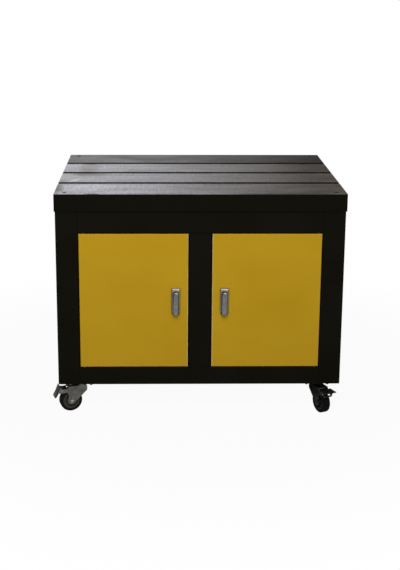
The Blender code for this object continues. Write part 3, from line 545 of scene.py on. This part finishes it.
def pedal_rivets(where):
    """The peened ends of the pedal's studs, on the outer faces of the fork's arms."""
    joint = joints[f"{where}_brake_press"]
    axle = Vector(joint["axis"]).normalized()
    dome = domed(RIVET_DOME, RIVET_RADIUS, RIVET_HEIGHT)
    solids = []
    for way in (axle, -axle):
        turn = way.to_track_quat("Z", "Y").to_matrix().to_4x4()
        face = Vector(joint["pos_m"]) + way * FORK_FACE
        solids.append(turned(dome, ROUND_STEPS, Matrix.Translation(face) @ turn))
    return joined(*solids)


zinc = zinc_plate("dull zinc plate", ZINC_PLATE, ZINC_DULL, ZINC_STAIN)
# The right casters' darker finishes are painted shade.
shade_painted_zinc = zinc_plate("zinc plate in painted shade", ZINC_PAINTED_SHADE, ZINC_PAINTED_SHADE_DARK, ZINC_PAINTED_SHADE_STAIN)
# A lighter copy of the zinc plate, as a painted glint on axles and rivets.
glint_painted_zinc = zinc_plate("bright zinc plate", ZINC_PAINTED_GLINT, ZINC_PLATE, ZINC_STAIN)
dusty_rubber = tyre_rubber("dusty rubber", RUBBER, RUBBER_DUSTY, RUBBER_GLOSS)
shade_painted_rubber = tyre_rubber("rubber in painted shade", RUBBER_PAINTED_SHADE, RUBBER, RUBBER_PAINTED_SHADE_GLOSS)
dry_nylon = dark_nylon("dry nylon", NYLON, NYLON_SCUFFED, NYLON_GLOSS)
shade_painted_nylon = dark_nylon("nylon in painted shade", NYLON_PAINTED_SHADE, NYLON, NYLON_PAINTED_SHADE_GLOSS)
for where in ("front_left", "front_right", "rear_left", "rear_right"):
    place = wheel_place(where)
    swivel, wheel = f"{where}_swivel", f"{where}_wheel"
    # The right casters take the darker finishes, which paint shade on them.
    in_painted_shade = where.endswith("right")
    plate = shade_painted_zinc if in_painted_shade else zinc
    bolt = shade_painted_zinc if in_painted_shade else glint_painted_zinc
    rubber = shade_painted_rubber if in_painted_shade else dusty_rubber
    nylon = shade_painted_nylon if in_painted_shade else dry_nylon
    coat(plate, f"{where}_caster_plate")
    piece(f"{where}_plate_bolts", plate_bolts(where), zinc, "root", "zinc_plate")
    fork_node = f"{where}_caster_fork"
    fork = rounded(restored(fork_node), METAL_EDGE)
    piece(f"{where}_pressed_fork", fork, plate, swivel, "zinc_plate", fork_node)
    piece(f"{where}_axle", axle_bolt(place), bolt, swivel, "zinc_plate", f"{where}_axle_bolt")
    piece(f"{where}_wheel_centre", wheel_core(place), nylon, wheel, "nylon", f"{where}_wheel_core")
    piece(f"{where}_rubber_tyre", tyre(place), rubber, wheel, "rubber", f"{where}_tyre")
    if where.startswith("front"):
        pedal_node, brake = f"{where}_brake_pedal", f"{where}_brake"
        pedal = rounded(restored(pedal_node), METAL_EDGE)
        piece(f"{where}_stamped_pedal", pedal, plate, brake, "zinc_plate", pedal_node)
        piece(f"{where}_pedal_rivets", pedal_rivets(where), glint_painted_zinc, brake, "zinc_plate")

# Doors
# Two pan-folded steel doors, powder-coated ochre yellow, that turn on steel pins in bronze bushes.
OCHRE = (0.415, 0.243, 0.0085, 1)
OCHRE_LIGHT = (0.455, 0.272, 0.0120, 1)
# Pale colour along the doors' free edges: a painted highlight.
OCHRE_PAINTED_HIGHLIGHT = (0.56, 0.44, 0.20, 1)
OCHRE_GLOSS = 0.06
OCHRE_ROUGH = 0.40
OCHRE_ROUGHER = 0.08
OCHRE_PATCHES = (4, EVEN, 3, 0.3, 0.7)
HIGHLIGHT_EDGE_WIDTH = 0.0030
HIGHLIGHT_EDGE_PATCHES = (60, (1, 1, 0.2), 3, 0.25, 0.55)
BRONZE = (0.42, 0.27, 0.10, 1)
BRONZE_DARK = (0.22, 0.13, 0.05, 1)
BRONZE_SCALE = 180
STEEL_DARK = (0.055, 0.055, 0.057, 1)
STEEL_RUBBED = (0.16, 0.16, 0.16, 1)
STEEL_SCALE = 120
SMALL_PART_METALLIC = 0.9
SMALL_PART_PATCHES = (EVEN, 4, 0.45, 0.75)
SMALL_PART_ROUGH = 0.48
SMALL_PART_SMOOTHER = 0.16
SMALL_PART_GRAIN = 1000
SMALL_PART_GRAIN_DEPTH = 0.00003


def coordinate(place, axis):
    """How far along one axis a place is."""
    return place.node("SeparateXYZ", {}, {0: place}, output=axis)


def yellow_powder_coat():
    """Ochre paint with a painted highlight: a pale line along the doors' free edges, next to the centre
    post.
    """
    material, place = new_finish("ochre powder coat")
    light = patches(place, *OCHRE_PATCHES)
    peel = grain(place, ORANGE_PEEL)
    free_edge = -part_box("left_door")[1].x
    from_middle = abs(coordinate(place, "X"))
    # A pale line along the free edges, as a painted highlight.
    edge_highlight = eased(from_middle, free_edge + HIGHLIGHT_EDGE_WIDTH, free_edge + HIGHLIGHT_EDGE_WIDTH / 2)
    highlight_breakup = patches(place, *HIGHLIGHT_EDGE_PATCHES)
    paint = mixed(light, OCHRE, OCHRE_LIGHT)
    return lay(
        material,
        {"Specular IOR Level": OCHRE_GLOSS},
        {
            "Base Color": mixed(edge_highlight * highlight_breakup, paint, OCHRE_PAINTED_HIGHLIGHT),
            "Roughness": OCHRE_ROUGH + OCHRE_ROUGHER * light,
            "Normal": relief(peel, PEEL_DEPTH),
        },
    )


def rubbed_metal(name, plain, rubbed_and_highlight, scale):
    """A turned or blackened metal with rubbed patches."""
    material, place = new_finish(name)
    bare = patches(place, scale, *SMALL_PART_PATCHES)
    fine = grain(place, SMALL_PART_GRAIN)
    return lay(
        material,
        {"Metallic": SMALL_PART_METALLIC},
        {
            "Base Color": mixed(bare, plain, rubbed_and_highlight),
            "Roughness": SMALL_PART_ROUGH - SMALL_PART_SMOOTHER * bare,
            "Normal": relief(fine, SMALL_PART_GRAIN_DEPTH),
        },
    )


yellow_paint = yellow_powder_coat()
bronze = rubbed_metal("turned bronze", BRONZE_DARK, BRONZE, BRONZE_SCALE)
dark_steel = rubbed_metal("blackened steel", STEEL_DARK, STEEL_RUBBED, STEEL_SCALE)
coat(yellow_paint, "left_door", "right_door")
for side in ("left", "right"):
    for end in ("top", "bottom"):
        coat(bronze, f"{side}_door_{end}_bush")
        coat(dark_steel, f"{side}_door_{end}_pin")

# Handle locks
# Die-cast zinc locks with a lever that lies in a dished bed, lifts on a cross pin and turns a flat latch.
# A nut behind the door's sheet holds each one, and a screw holds the latch on the spindle.
ZINC_CAST = (0.38, 0.38, 0.38, 1)
ZINC_CAST_DARK = (0.26, 0.258, 0.25, 1)
# Lighter zinc on the housing's top slope and the lever's head: a painted highlight.
ZINC_CAST_PAINTED_HIGHLIGHT = (0.46, 0.45, 0.415, 1)
# Near-black in the bed round the lever: grime and painted shade.
ZINC_CAST_GRIME_AND_SHADE = (0.018, 0.017, 0.015, 1)
CAST_METALLIC = 0.95
CAST_PATCHES = (90, EVEN, 4, 0.3, 0.7)
CAST_ROUGH = 0.27
CAST_ROUGHER = 0.10
CAST_GRAIN = 1400
CAST_GRAIN_DEPTH = 0.00003
CAST_EDGE = 0.0006
POCKET_HALF = 0.0112
# How far the bed's grime and painted shade reaches round the lever, and how dark it gets.
POCKET_RIM_FROM = 0.0045
POCKET_RIM_TO = 0.0090
POCKET_GRIME_AND_SHADE = (0.0002, 0.0010)
BED_GRIME_AND_SHADE = 0.3
RIM_GRIME_AND_SHADE = 0.7
# Where the painted highlight starts above the lock's axis, and how far behind the lever's face it reaches.
HIGHLIGHT_ABOVE_TOP = 0.0162
HIGHLIGHT_ABOVE_HEAD = 0.0020
HIGHLIGHT_CHAMFER_BEHIND = (-0.0069, -0.0058)
LEVER_CLEAR = 0.0010
LEVER_CHAMFER = 0.0020
LEVER_EDGE = 0.0011
TOP_SLOPE_DEPTH = 0.0055
TOP_SLOPE_RISE = 0.0019
TOP_SLOPE_ABOVE = 0.0170
HEAD_INSET = 0.30
HEAD_DROP = 0.0013
CAM_SCREW_RADIUS = 0.0050
CAM_SCREW_HEIGHT = 0.0035
CAM_WASHER_RADIUS = 0.0085
CAM_WASHER_THICKNESS = 0.0012
TAIL_PROUD = 0.0010


def zinc_casting():
    """Bright die casting with a painted highlight on the housing's top slope and the lever's head, and with
    grime and painted shade in the bed behind the lever.
    """
    material, place = new_finish("zinc die casting")
    dull = patches(place, *CAST_PATCHES)
    fine = grain(place, CAST_GRAIN)
    axis_x, _, axis_z = joints["right_latch_turn"]["pos_m"]
    face_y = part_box("right_lock_housing")[0].y
    beside = abs(abs(coordinate(place, "X")) - axis_x)
    behind = coordinate(place, "Y") - face_y
    above = coordinate(place, "Z") - axis_z
    # The bed behind the lever, darkest round its rim, gets grime and painted shade.
    in_pocket = (1 - (beside > POCKET_HALF)) * (1 - (above > POCKET_HALF))
    rise = above.math("MAXIMUM", above, 0)
    rim = eased(beside * beside + rise * rise, POCKET_RIM_FROM**2, POCKET_RIM_TO**2)
    grime_and_shade = eased(behind, *POCKET_GRIME_AND_SHADE) * in_pocket * (BED_GRIME_AND_SHADE + RIM_GRIME_AND_SHADE * rim)
    on_lever = 1 - (behind > -LEVER_CLEAR)
    # The housing's top slope and the lever's head chamfer get the painted highlight.
    lever_highlight = (above > HIGHLIGHT_ABOVE_TOP) + (above > HIGHLIGHT_ABOVE_HEAD) * eased(behind, *HIGHLIGHT_CHAMFER_BEHIND)
    rubbed_and_highlight = on_lever * lever_highlight + (above > HIGHLIGHT_ABOVE_TOP) * (behind > 0)
    cast = mixed(rubbed_and_highlight, mixed(dull, ZINC_CAST, ZINC_CAST_DARK), ZINC_CAST_PAINTED_HIGHLIGHT)
    return lay(
        material,
        {"Metallic": CAST_METALLIC},
        {
            "Base Color": mixed(grime_and_shade, cast, ZINC_CAST_GRIME_AND_SHADE),
            "Roughness": CAST_ROUGH + CAST_ROUGHER * dull,
            "Normal": relief(fine, CAST_GRAIN_DEPTH),
        },
    )


def cast_housing(side):
    """The lock's body, with a short upright wall behind its sloped top."""
    node = f"{side}_lock_housing"
    bm = restored(node)
    axis_z = joints[f"{side}_latch_turn"]["pos_m"][2]
    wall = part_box(node)[0].y + TOP_SLOPE_DEPTH
    geometry = [*bm.verts, *bm.edges, *bm.faces]
    cut = bmesh.ops.bisect_plane(bm, geom=geometry, plane_co=(0, wall, 0), plane_no=(0, 1, 0))
    for part in cut["geom_cut"]:
        if isinstance(part, bmesh.types.BMVert) and part.co.z > axis_z + TOP_SLOPE_ABOVE:
            part.co.z += TOP_SLOPE_RISE
    return rounded(bm, CAST_EDGE)


def cast_lever(side):
    """The lever, with rounded front edges and a chamfer that widens round the top of its head."""
    node = f"{side}_lever"
    bm = restored(node)
    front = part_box(node)[0].y
    axis_x, _, axis_z = joints[f"{side}_latch_turn"]["pos_m"]
    for vert in bm.verts:
        from_axis = Vector((vert.co.x - axis_x, 0, vert.co.z - axis_z))
        share = max(from_axis.z, 0) / from_axis.length
        if vert.co.y < front + CAST_EDGE:
            vert.co -= from_axis * HEAD_INSET * share
        elif vert.co.y < front + LEVER_CHAMFER + CAST_EDGE:
            vert.co.y += HEAD_DROP * share
    return rounded(bm, LEVER_EDGE, front + LEVER_CHAMFER + HEAD_DROP + CAST_EDGE)


def cam_screw(side):
    """A hexagon screw and a washer that hold the latch on the spindle's square end."""
    axis = Vector(joints[f"{side}_latch_turn"]["pos_m"])
    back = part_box(f"{side}_latch_cam")[1].y + TAIL_PROUD
    place = Matrix.Translation((axis.x, back, axis.z)) @ Matrix.Rotation(-math.pi / 2, 4, "X")
    top = CAM_WASHER_THICKNESS
    washer = [(0, top), (CAM_WASHER_RADIUS, top), (CAM_WASHER_RADIUS, 0), (0, 0)]
    head = chamfered_hexagon(CAM_SCREW_RADIUS, top, top + CAM_SCREW_HEIGHT, place)
    return joined(turned(washer, ROUND_STEPS, place), head)


cast_zinc = zinc_casting()
for side in ("left", "right"):
    leaf, latch, handle = f"{side}_door_leaf", f"{side}_latch", f"{side}_handle"
    housing_node, lever_node = f"{side}_lock_housing", f"{side}_lever"
    piece(f"{side}_cast_housing", cast_housing(side), cast_zinc, leaf, "zinc_casting", housing_node)
    piece(f"{side}_cast_lever", cast_lever(side), cast_zinc, handle, "zinc_casting", lever_node)
    piece(f"{side}_cam_screw", cam_screw(side), dark_steel, latch, "dark_steel")
    coat(cast_zinc, f"{side}_lock_rotor")
    coat(dark_steel, f"{side}_lock_nut", f"{side}_lever_pin", f"{side}_latch_cam")

# Table top
# A ribbed iron casting. Its sides and underside are painted black, and the top is milled in long passes,
# with T-slots for clamping bolts and a socket screw sunk in each corner.
# The iron is pale and bluish on the left as a painted reflection, and darker and warmer to the right.
IRON_LEFT_REFLECTION = (0.68, 0.677, 0.765, 1)
IRON_DARK = (0.27, 0.260, 0.270, 1)
IRON_WARM = (0.425, 0.365, 0.315, 1)
IRON_WARM_DARK = (0.185, 0.157, 0.137, 1)
# Iron stain colour, also used for the painted dark reflections.
IRON_STAIN_AND_DARK_REFLECTION = (0.095, 0.082, 0.073, 1)
# Dark oil and painted shade on the rear strip.
IRON_OILED_AND_SHADED = (0.047, 0.039, 0.033, 1)
IRON_SCRAPED = (0.86, 0.85, 0.86, 1)
IRON_ROUGH = 0.30
IRON_ROUGHER = 0.14
CASTING_ROUGH = 0.5
MILLED_FROM_TOP = 0.0003
MILLED_DEPTH = PEEL_DEPTH * 0.6
LEFT_REFLECTION_FADE = (-0.25, 0.45)
FEED = (3, (1, 90, 1), 4)
FEED_RANGE = (0.3, 0.7)
FEED_SHARE = 0.2
STREAKS = (13, (0.35, 3, 1), 6, 0.45, 0.75)
STREAK_SHARE = 0.6
FLECKS = (75, (1, 0.5, 1), 4, 0.4, 0.7)
FLECK_SHARE = 0.3
CHATTER = (5, (34, 3, 1), FINE_DETAIL, 0.4, 0.7)
CHATTER_SHARE = 0.3
MOTTLE = (9, (0.6, 1.4, 1), 5, 0.35, 0.75)
MOTTLE_SHARE = 0.6
STAINS = (5.5, EVEN, 4, 0.58, 0.78)
STAIN_SHARE = 0.45
FILM_SHARE = 0.15
OIL_AND_SHADE_PATCHES = (6, (1, 2.2, 1), 5, 0.32, 0.68)
OIL_AND_SHADE_LEAST = 0.68
OIL_AND_SHADE_MORE = 0.36
SPECKS = (105, (1, 0.5, 1), FINE_DETAIL, 0.55, 0.63)
SPECK_SHARE = 0.8
SPECKED = (0.430, 0.325, 0.100, 0.060)
RAGGED = (16, EVEN, 4)
RAGGED_REACH = 1.6
SPOT_FADE = (1.1, 0.1)
SLOT_PITCH = 0.1875
# Dark margins along the slots: grime and painted shade.
SLOT_GRIME_AND_SHADE = 0.0165
SLOT_GRIME_AND_SHADE_SOLID = SLOT_GRIME_AND_SHADE * 0.8
SLOT_RAGGED = 0.004
SCRAPE = (-0.445, -0.1375, 0.040, 0.007)
SCRAPE_TURN = math.radians(54)
SCRAPE_RAGGED = 0.5
SCRAPE_SHARE = 0.8
WORN_CLEAN = (-0.30, -0.29, 0.26, 0.12)
# Dark marks on the top: grime, and painted dark reflections.
DARK_SMUDGES_AND_REFLECTIONS = (
    (-0.405, 0.105, 0.045, 0.130, 0.50),
    (-0.395, -0.028, 0.070, 0.040, 0.85),
    (-0.500, -0.290, 0.032, 0.090, 1.00),
    (0.430, 0.330, 0.090, 0.055, 0.60),
    (0.300, -0.372, 0.200, 0.020, 0.70),
    (-0.370, -0.374, 0.032, 0.012, 0.90),
    (-0.410, 0.176, 0.040, 0.020, 0.90),
    (-0.460, -0.090, 0.070, 0.100, 0.30),
    (0.420, 0.100, 0.170, 0.110, 0.30),
)
SCREW_STEPS = 24
SCREW_HEAD_RADIUS = 0.0065
SCREW_HEAD_HEIGHT = 0.0080
SCREW_HEAD_EDGE = 0.0006
SCREW_SOCKET_HALF = 0.0030
SCREW_SOCKET_DEPTH = 0.0040
SCREW_SHANK_RADIUS = 0.0040


def spot(along, across, x, y, half_width, half_depth, ragged, turn=0):
    """A soft-edged ellipse on the table top, with a ragged outline."""
    cosine, sine = math.cos(turn), math.sin(turn)
    a = ((along - x) * cosine + (across - y) * sine) * (1 / half_width)
    b = ((across - y) * cosine - (along - x) * sine) * (1 / half_depth)
    return eased(a * a + b * b + ragged, *SPOT_FADE)


def milled_iron():
    """Milled bright on top, with oil, wear, painted reflection and painted shade, and painted black below
    the edge and in the slots, where the black and the dark slot margins are painted shade with grime.
    """
    material, place = new_finish("milled iron on a painted casting")
    along = coordinate(place, "X")
    across = coordinate(place, "Y")
    bare = coordinate(place, "Z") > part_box("top_plate")[1].z - MILLED_FROM_TOP
    feed = grain(place, *FEED)
    mottle = patches(place, *MOTTLE)
    ragged = RAGGED_REACH * (grain(place, *RAGGED) - 0.5)
    unworn = 1 - spot(along, across, *WORN_CLEAN, ragged)
    # Pale and bluish on the left as a painted reflection, darker and warmer to the right.
    to_right = eased(along, *LEFT_REFLECTION_FADE)
    iron = mixed(to_right, IRON_LEFT_REFLECTION, IRON_WARM)
    dark = mixed(to_right, IRON_DARK, IRON_WARM_DARK)
    lines = FEED_SHARE * eased(feed, *FEED_RANGE) + STREAK_SHARE * patches(place, *STREAKS)
    marks = FLECK_SHARE * patches(place, *FLECKS) + CHATTER_SHARE * patches(place, *CHATTER)
    iron = mixed(lines + marks, iron, dark)
    iron = mixed(MOTTLE_SHARE * mottle * unworn, iron, dark)
    iron = mixed(STAIN_SHARE * patches(place, *STAINS) * unworn, iron, IRON_STAIN_AND_DARK_REFLECTION)
    iron = mixed(FILM_SHARE * unworn, iron, IRON_STAIN_AND_DARK_REFLECTION)
    # The rear strip is darkened with oil patches and painted shade.
    rear_oil_and_shade = (across > SLOT_PITCH) * (OIL_AND_SHADE_LEAST + OIL_AND_SHADE_MORE * patches(place, *OIL_AND_SHADE_PATCHES))
    iron = mixed(rear_oil_and_shade, iron, IRON_OILED_AND_SHADED)
    # Grime and painted dark reflections on the top.
    for *shape, strength in DARK_SMUDGES_AND_REFLECTIONS:
        iron = mixed(strength * spot(along, across, *shape, ragged), iron, IRON_STAIN_AND_DARK_REFLECTION)
    specks = SPECK_SHARE * patches(place, *SPECKS) * spot(along, across, *SPECKED, ragged)
    iron = mixed(specks, iron, WORN_BLACK_AND_SHADE)
    scraped = spot(along, across, *SCRAPE, SCRAPE_RAGGED * ragged, SCRAPE_TURN)
    iron = mixed(SCRAPE_SHARE * scraped, iron, IRON_SCRAPED)
    # Grime and painted shade along the slots' edges.
    from_slot = across.math("MINIMUM", abs(across), abs(abs(across) - SLOT_PITCH))
    grime_and_shade = eased(from_slot + SLOT_RAGGED * ragged, SLOT_GRIME_AND_SHADE, SLOT_GRIME_AND_SHADE_SOLID)
    iron = mixed(grime_and_shade, iron, WORN_BLACK_AND_SHADE)
    height = bare * feed + (1 - bare) * grain(place, ORANGE_PEEL)
    return lay(
        material,
        {"Specular IOR Level": BLACK_GLOSS},
        {
            "Base Color": mixed(bare, BLACK, iron),
            "Metallic": bare * (1 - grime_and_shade) * (1 - specks),
            "Roughness": bare * (IRON_ROUGH + IRON_ROUGHER * mottle) + (1 - bare) * CASTING_ROUGH,
            "Normal": relief(height, MILLED_DEPTH),
        },
    )


def socket_screw(node):
    """A socket-head screw: rings from the shank's end, over the head, to the socket's floor."""
    low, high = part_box(node)
    middle = (low + high) / 2
    seat = high.z - SCREW_HEAD_HEIGHT
    turns = [math.tau * i / SCREW_STEPS for i in range(SCREW_STEPS)]
    sixth = math.tau / HEX_SIDES
    flats = [1 / math.cos(turn % sixth - sixth / 2) for turn in turns]
    rings = [
        (low.z, SCREW_SHANK_RADIUS, False),
        (seat, SCREW_SHANK_RADIUS, False),
        (seat, SCREW_HEAD_RADIUS, False),
        (high.z - SCREW_HEAD_EDGE, SCREW_HEAD_RADIUS, False),
        (high.z, SCREW_HEAD_RADIUS - SCREW_HEAD_EDGE, False),
        (high.z, SCREW_SOCKET_HALF, True),
        (high.z - SCREW_SOCKET_DEPTH, SCREW_SOCKET_HALF, True),
    ]
    bm = bmesh.new()
    loops = []
    for z, radius, hexagon in rings:
        reach = [radius * flat if hexagon else radius for flat in flats]
        points = [(middle.x + r * math.cos(t), middle.y + r * math.sin(t), z) for r, t in zip(reach, turns)]
        loops.append([bm.verts.new(point) for point in points])
    for lower, upper in zip(loops, loops[1:]):
        for i in range(SCREW_STEPS):
            bm.faces.new((lower[i - 1], lower[i], upper[i], upper[i - 1]))
    bm.faces.new(loops[0])
    bm.faces.new(loops[-1])
    bmesh.ops.recalc_face_normals(bm, faces=bm.faces)
    return bm


coat(milled_iron(), "top_plate")
for row in ("front", "rear"):
    for side in ("left", "right"):
        node = f"top_screw_{row}_{side}"
        piece(f"socket_screw_{row}_{side}", socket_screw(node), dark_steel, "root", "dark_steel", node)

# Studio
# A plain pale floor and white surroundings, with a soft key light from above the camera. Metal shows a
# backdrop that is white on the left and dark on the right, a light overhead and a card at each side.
WHITE = (1, 1, 1, 1)
FLOOR_SIZE = 16
FLOOR_GREY = (0.50, 0.50, 0.50, 1)
FLOOR_GLOW = 0.95
SHADOW_REACH = 1.6
SKY_LEVEL = 0.34
BACKDROP_FROM = (-0.2, 0.4)
BACKDROP_DARK = 0.02
BACKDROP_FADE = (0.15, -0.12)
ROOM_DARK = 0.04
ROOM_LIGHT = 0.6
ROOM_FADE = (-0.3, 0.8)
OVERHEAD_LEVEL = 1.8
OVERHEAD_FROM = (0.6, 0.9)
OVERHEAD_FADE = (-0.8, 0.1)
CARD_SIZE = (3.2, 1.3)
CARD_DISTANCE = 1.4
DARK_CARD = 0.02
WHITE_CARD = 0.55
KEY_PLACE = (-0.2, -2.1, 2.4)
KEY_SIZE = 1.8
KEY_POWER = 66
AIM = (0, 0, 0.45)


def stage_sheet(name, surface, bm):
    """A flat piece of the studio that isn't part of the object, with its surface shader."""
    material = bpy.data.materials.new(name)
    material.use_nodes = True
    tree = material.node_tree
    tree.nodes.clear()
    output = tree.nodes.new("ShaderNodeOutputMaterial")
    tree.links.new(surface(Tone(tree)).socket, output.inputs["Surface"])
    mesh = bpy.data.meshes.new(name)
    bm.to_mesh(mesh)
    bm.free()
    mesh.materials.append(material)
    sheet = bpy.data.objects.new(name, mesh)
    bpy.context.scene.collection.objects.link(sheet)
    return sheet


def floor_surface(start):
    """White to the camera, but for the object's shadow, and grey to the light that it sends up."""
    seen = start.node("LightPath", {}, {}, output="Is Camera Ray")
    place = start.node("TexCoord", {}, {}, output="Object")
    reach = place.node("VectorMath", {"operation": "LENGTH"}, {0: place}, output="Value")
    glow_share = FLOOR_GLOW + (1 - FLOOR_GLOW) * eased(reach, SHADOW_REACH / 2, SHADOW_REACH)
    lit = start.node("BsdfDiffuse", {}, {"Color": FLOOR_GREY})
    glow = start.node("Emission", {}, {"Color": WHITE, "Strength": 1})
    return start.node("MixShader", {}, {0: seen * glow_share, 1: lit, 2: glow})


def studio_floor():
    """The floor that the stand is on."""
    bm = bmesh.new()
    bmesh.ops.create_grid(bm, x_segments=1, y_segments=1, size=FLOOR_SIZE / 2)
    stage_sheet("studio_floor", floor_surface, bm)


def studio_world():
    """White to the camera, an even grey light on surfaces, and a lit room in reflections."""
    world = bpy.data.worlds.new("studio")
    world.use_nodes = True
    bpy.context.scene.world = world
    tree = world.node_tree
    start = Tone(tree)
    camera = start.node("LightPath", {}, {}, output="Is Camera Ray")
    glossy = start.node("LightPath", {}, {}, output="Is Glossy Ray")
    through = start.node("LightPath", {}, {}, output="Is Transmission Ray")
    seen = camera.math("MAXIMUM", camera, through)
    aim = start.node("TexCoord", {}, {}, output="Generated")
    side = coordinate(aim, "X")
    behind = eased(coordinate(aim, "Y"), *BACKDROP_FROM)
    backdrop = BACKDROP_DARK + eased(side, *BACKDROP_FADE)
    room = ROOM_DARK + ROOM_LIGHT * eased(side, *ROOM_FADE)
    above = eased(coordinate(aim, "Z"), *OVERHEAD_FROM)
    overhead = OVERHEAD_LEVEL * above * eased(side, *OVERHEAD_FADE)
    reflected = overhead + behind * backdrop + (1 - behind) * room
    level = seen + (1 - seen) * (glossy * reflected + (1 - glossy) * SKY_LEVEL)
    tree.links.new(level.socket, tree.nodes["Background"].inputs["Strength"])
    tree.nodes["Background"].inputs["Color"].default_value = WHITE


def side_card(name, x, level):
    """An upright card beside the object that only metal shows."""
    length, height = CARD_SIZE
    upright = Matrix.Translation((x, 0, height / 2)) @ Matrix.Rotation(math.pi / 2, 4, "Y")
    stretch = Matrix.Diagonal((height, length, 1, 1))
    bm = bmesh.new()
    bmesh.ops.create_grid(bm, x_segments=1, y_segments=1, size=0.5, matrix=upright @ stretch)
    glow = {"Color": WHITE, "Strength": level}
    card = stage_sheet(name, lambda start: start.node("Emission", {}, glow), bm)
    card.visible_camera = False
    card.visible_diffuse = False
    card.visible_shadow = False


def soft_light(name, place, size, power):
    """A square lamp that shines at the object and isn't seen by the camera or in metal."""
    lamp = bpy.data.lights.new(name, "AREA")
    lamp.size = size
    lamp.energy = power
    obj = bpy.data.objects.new(name, lamp)
    obj.location = place
    obj.rotation_euler = (Vector(AIM) - Vector(place)).to_track_quat("-Z", "Y").to_euler()
    obj.visible_camera = False
    obj.visible_glossy = False
    bpy.context.scene.collection.objects.link(obj)


studio_floor()
studio_world()
side_card("dark_card", -CARD_DISTANCE, DARK_CARD)
side_card("white_card", CARD_DISTANCE, WHITE_CARD)
soft_light("key", KEY_PLACE, KEY_SIZE, KEY_POWER)

# Camera
# The photograph's viewpoint, in front of the stand and above its top, looking slightly down.
IMAGE_WIDTH = 400
IMAGE_HEIGHT = 570
AXIS_PIXEL = (180, 220)
FOCAL_PIXELS = 1091.92
FILM_HEIGHT = 36
CAMERA_PLACE = (-0.1362, -3.9885, 1.5882)
CAMERA_YAW = 0.0181168
CAMERA_PITCH = 0.2383416
CAMERA_ROLL = 0.0039571


def photograph_camera():
    """A camera with the photograph's viewpoint, focal length and frame."""
    right = Vector((math.cos(CAMERA_YAW), -math.sin(CAMERA_YAW), 0))
    level = Vector((math.sin(CAMERA_YAW), math.cos(CAMERA_YAW), 0))
    ahead = level * math.cos(CAMERA_PITCH) - Vector((0, 0, math.sin(CAMERA_PITCH)))
    turn = Matrix((right, right.cross(ahead), -ahead)).transposed() @ Matrix.Rotation(CAMERA_ROLL, 3, "Z")
    film = bpy.data.cameras.new("photograph")
    film.sensor_fit = "VERTICAL"
    film.sensor_height = FILM_HEIGHT
    film.lens = FOCAL_PIXELS / IMAGE_HEIGHT * FILM_HEIGHT
    film.shift_x = (IMAGE_WIDTH / 2 - AXIS_PIXEL[0]) / IMAGE_HEIGHT
    film.shift_y = (AXIS_PIXEL[1] - IMAGE_HEIGHT / 2) / IMAGE_HEIGHT
    camera = bpy.data.objects.new("photograph", film)
    camera.matrix_world = Matrix.Translation(CAMERA_PLACE) @ turn.to_4x4()
    bpy.context.scene.collection.objects.link(camera)
    bpy.context.scene.camera = camera


photograph_camera()
bpy.context.scene.view_settings.view_transform = "Standard"
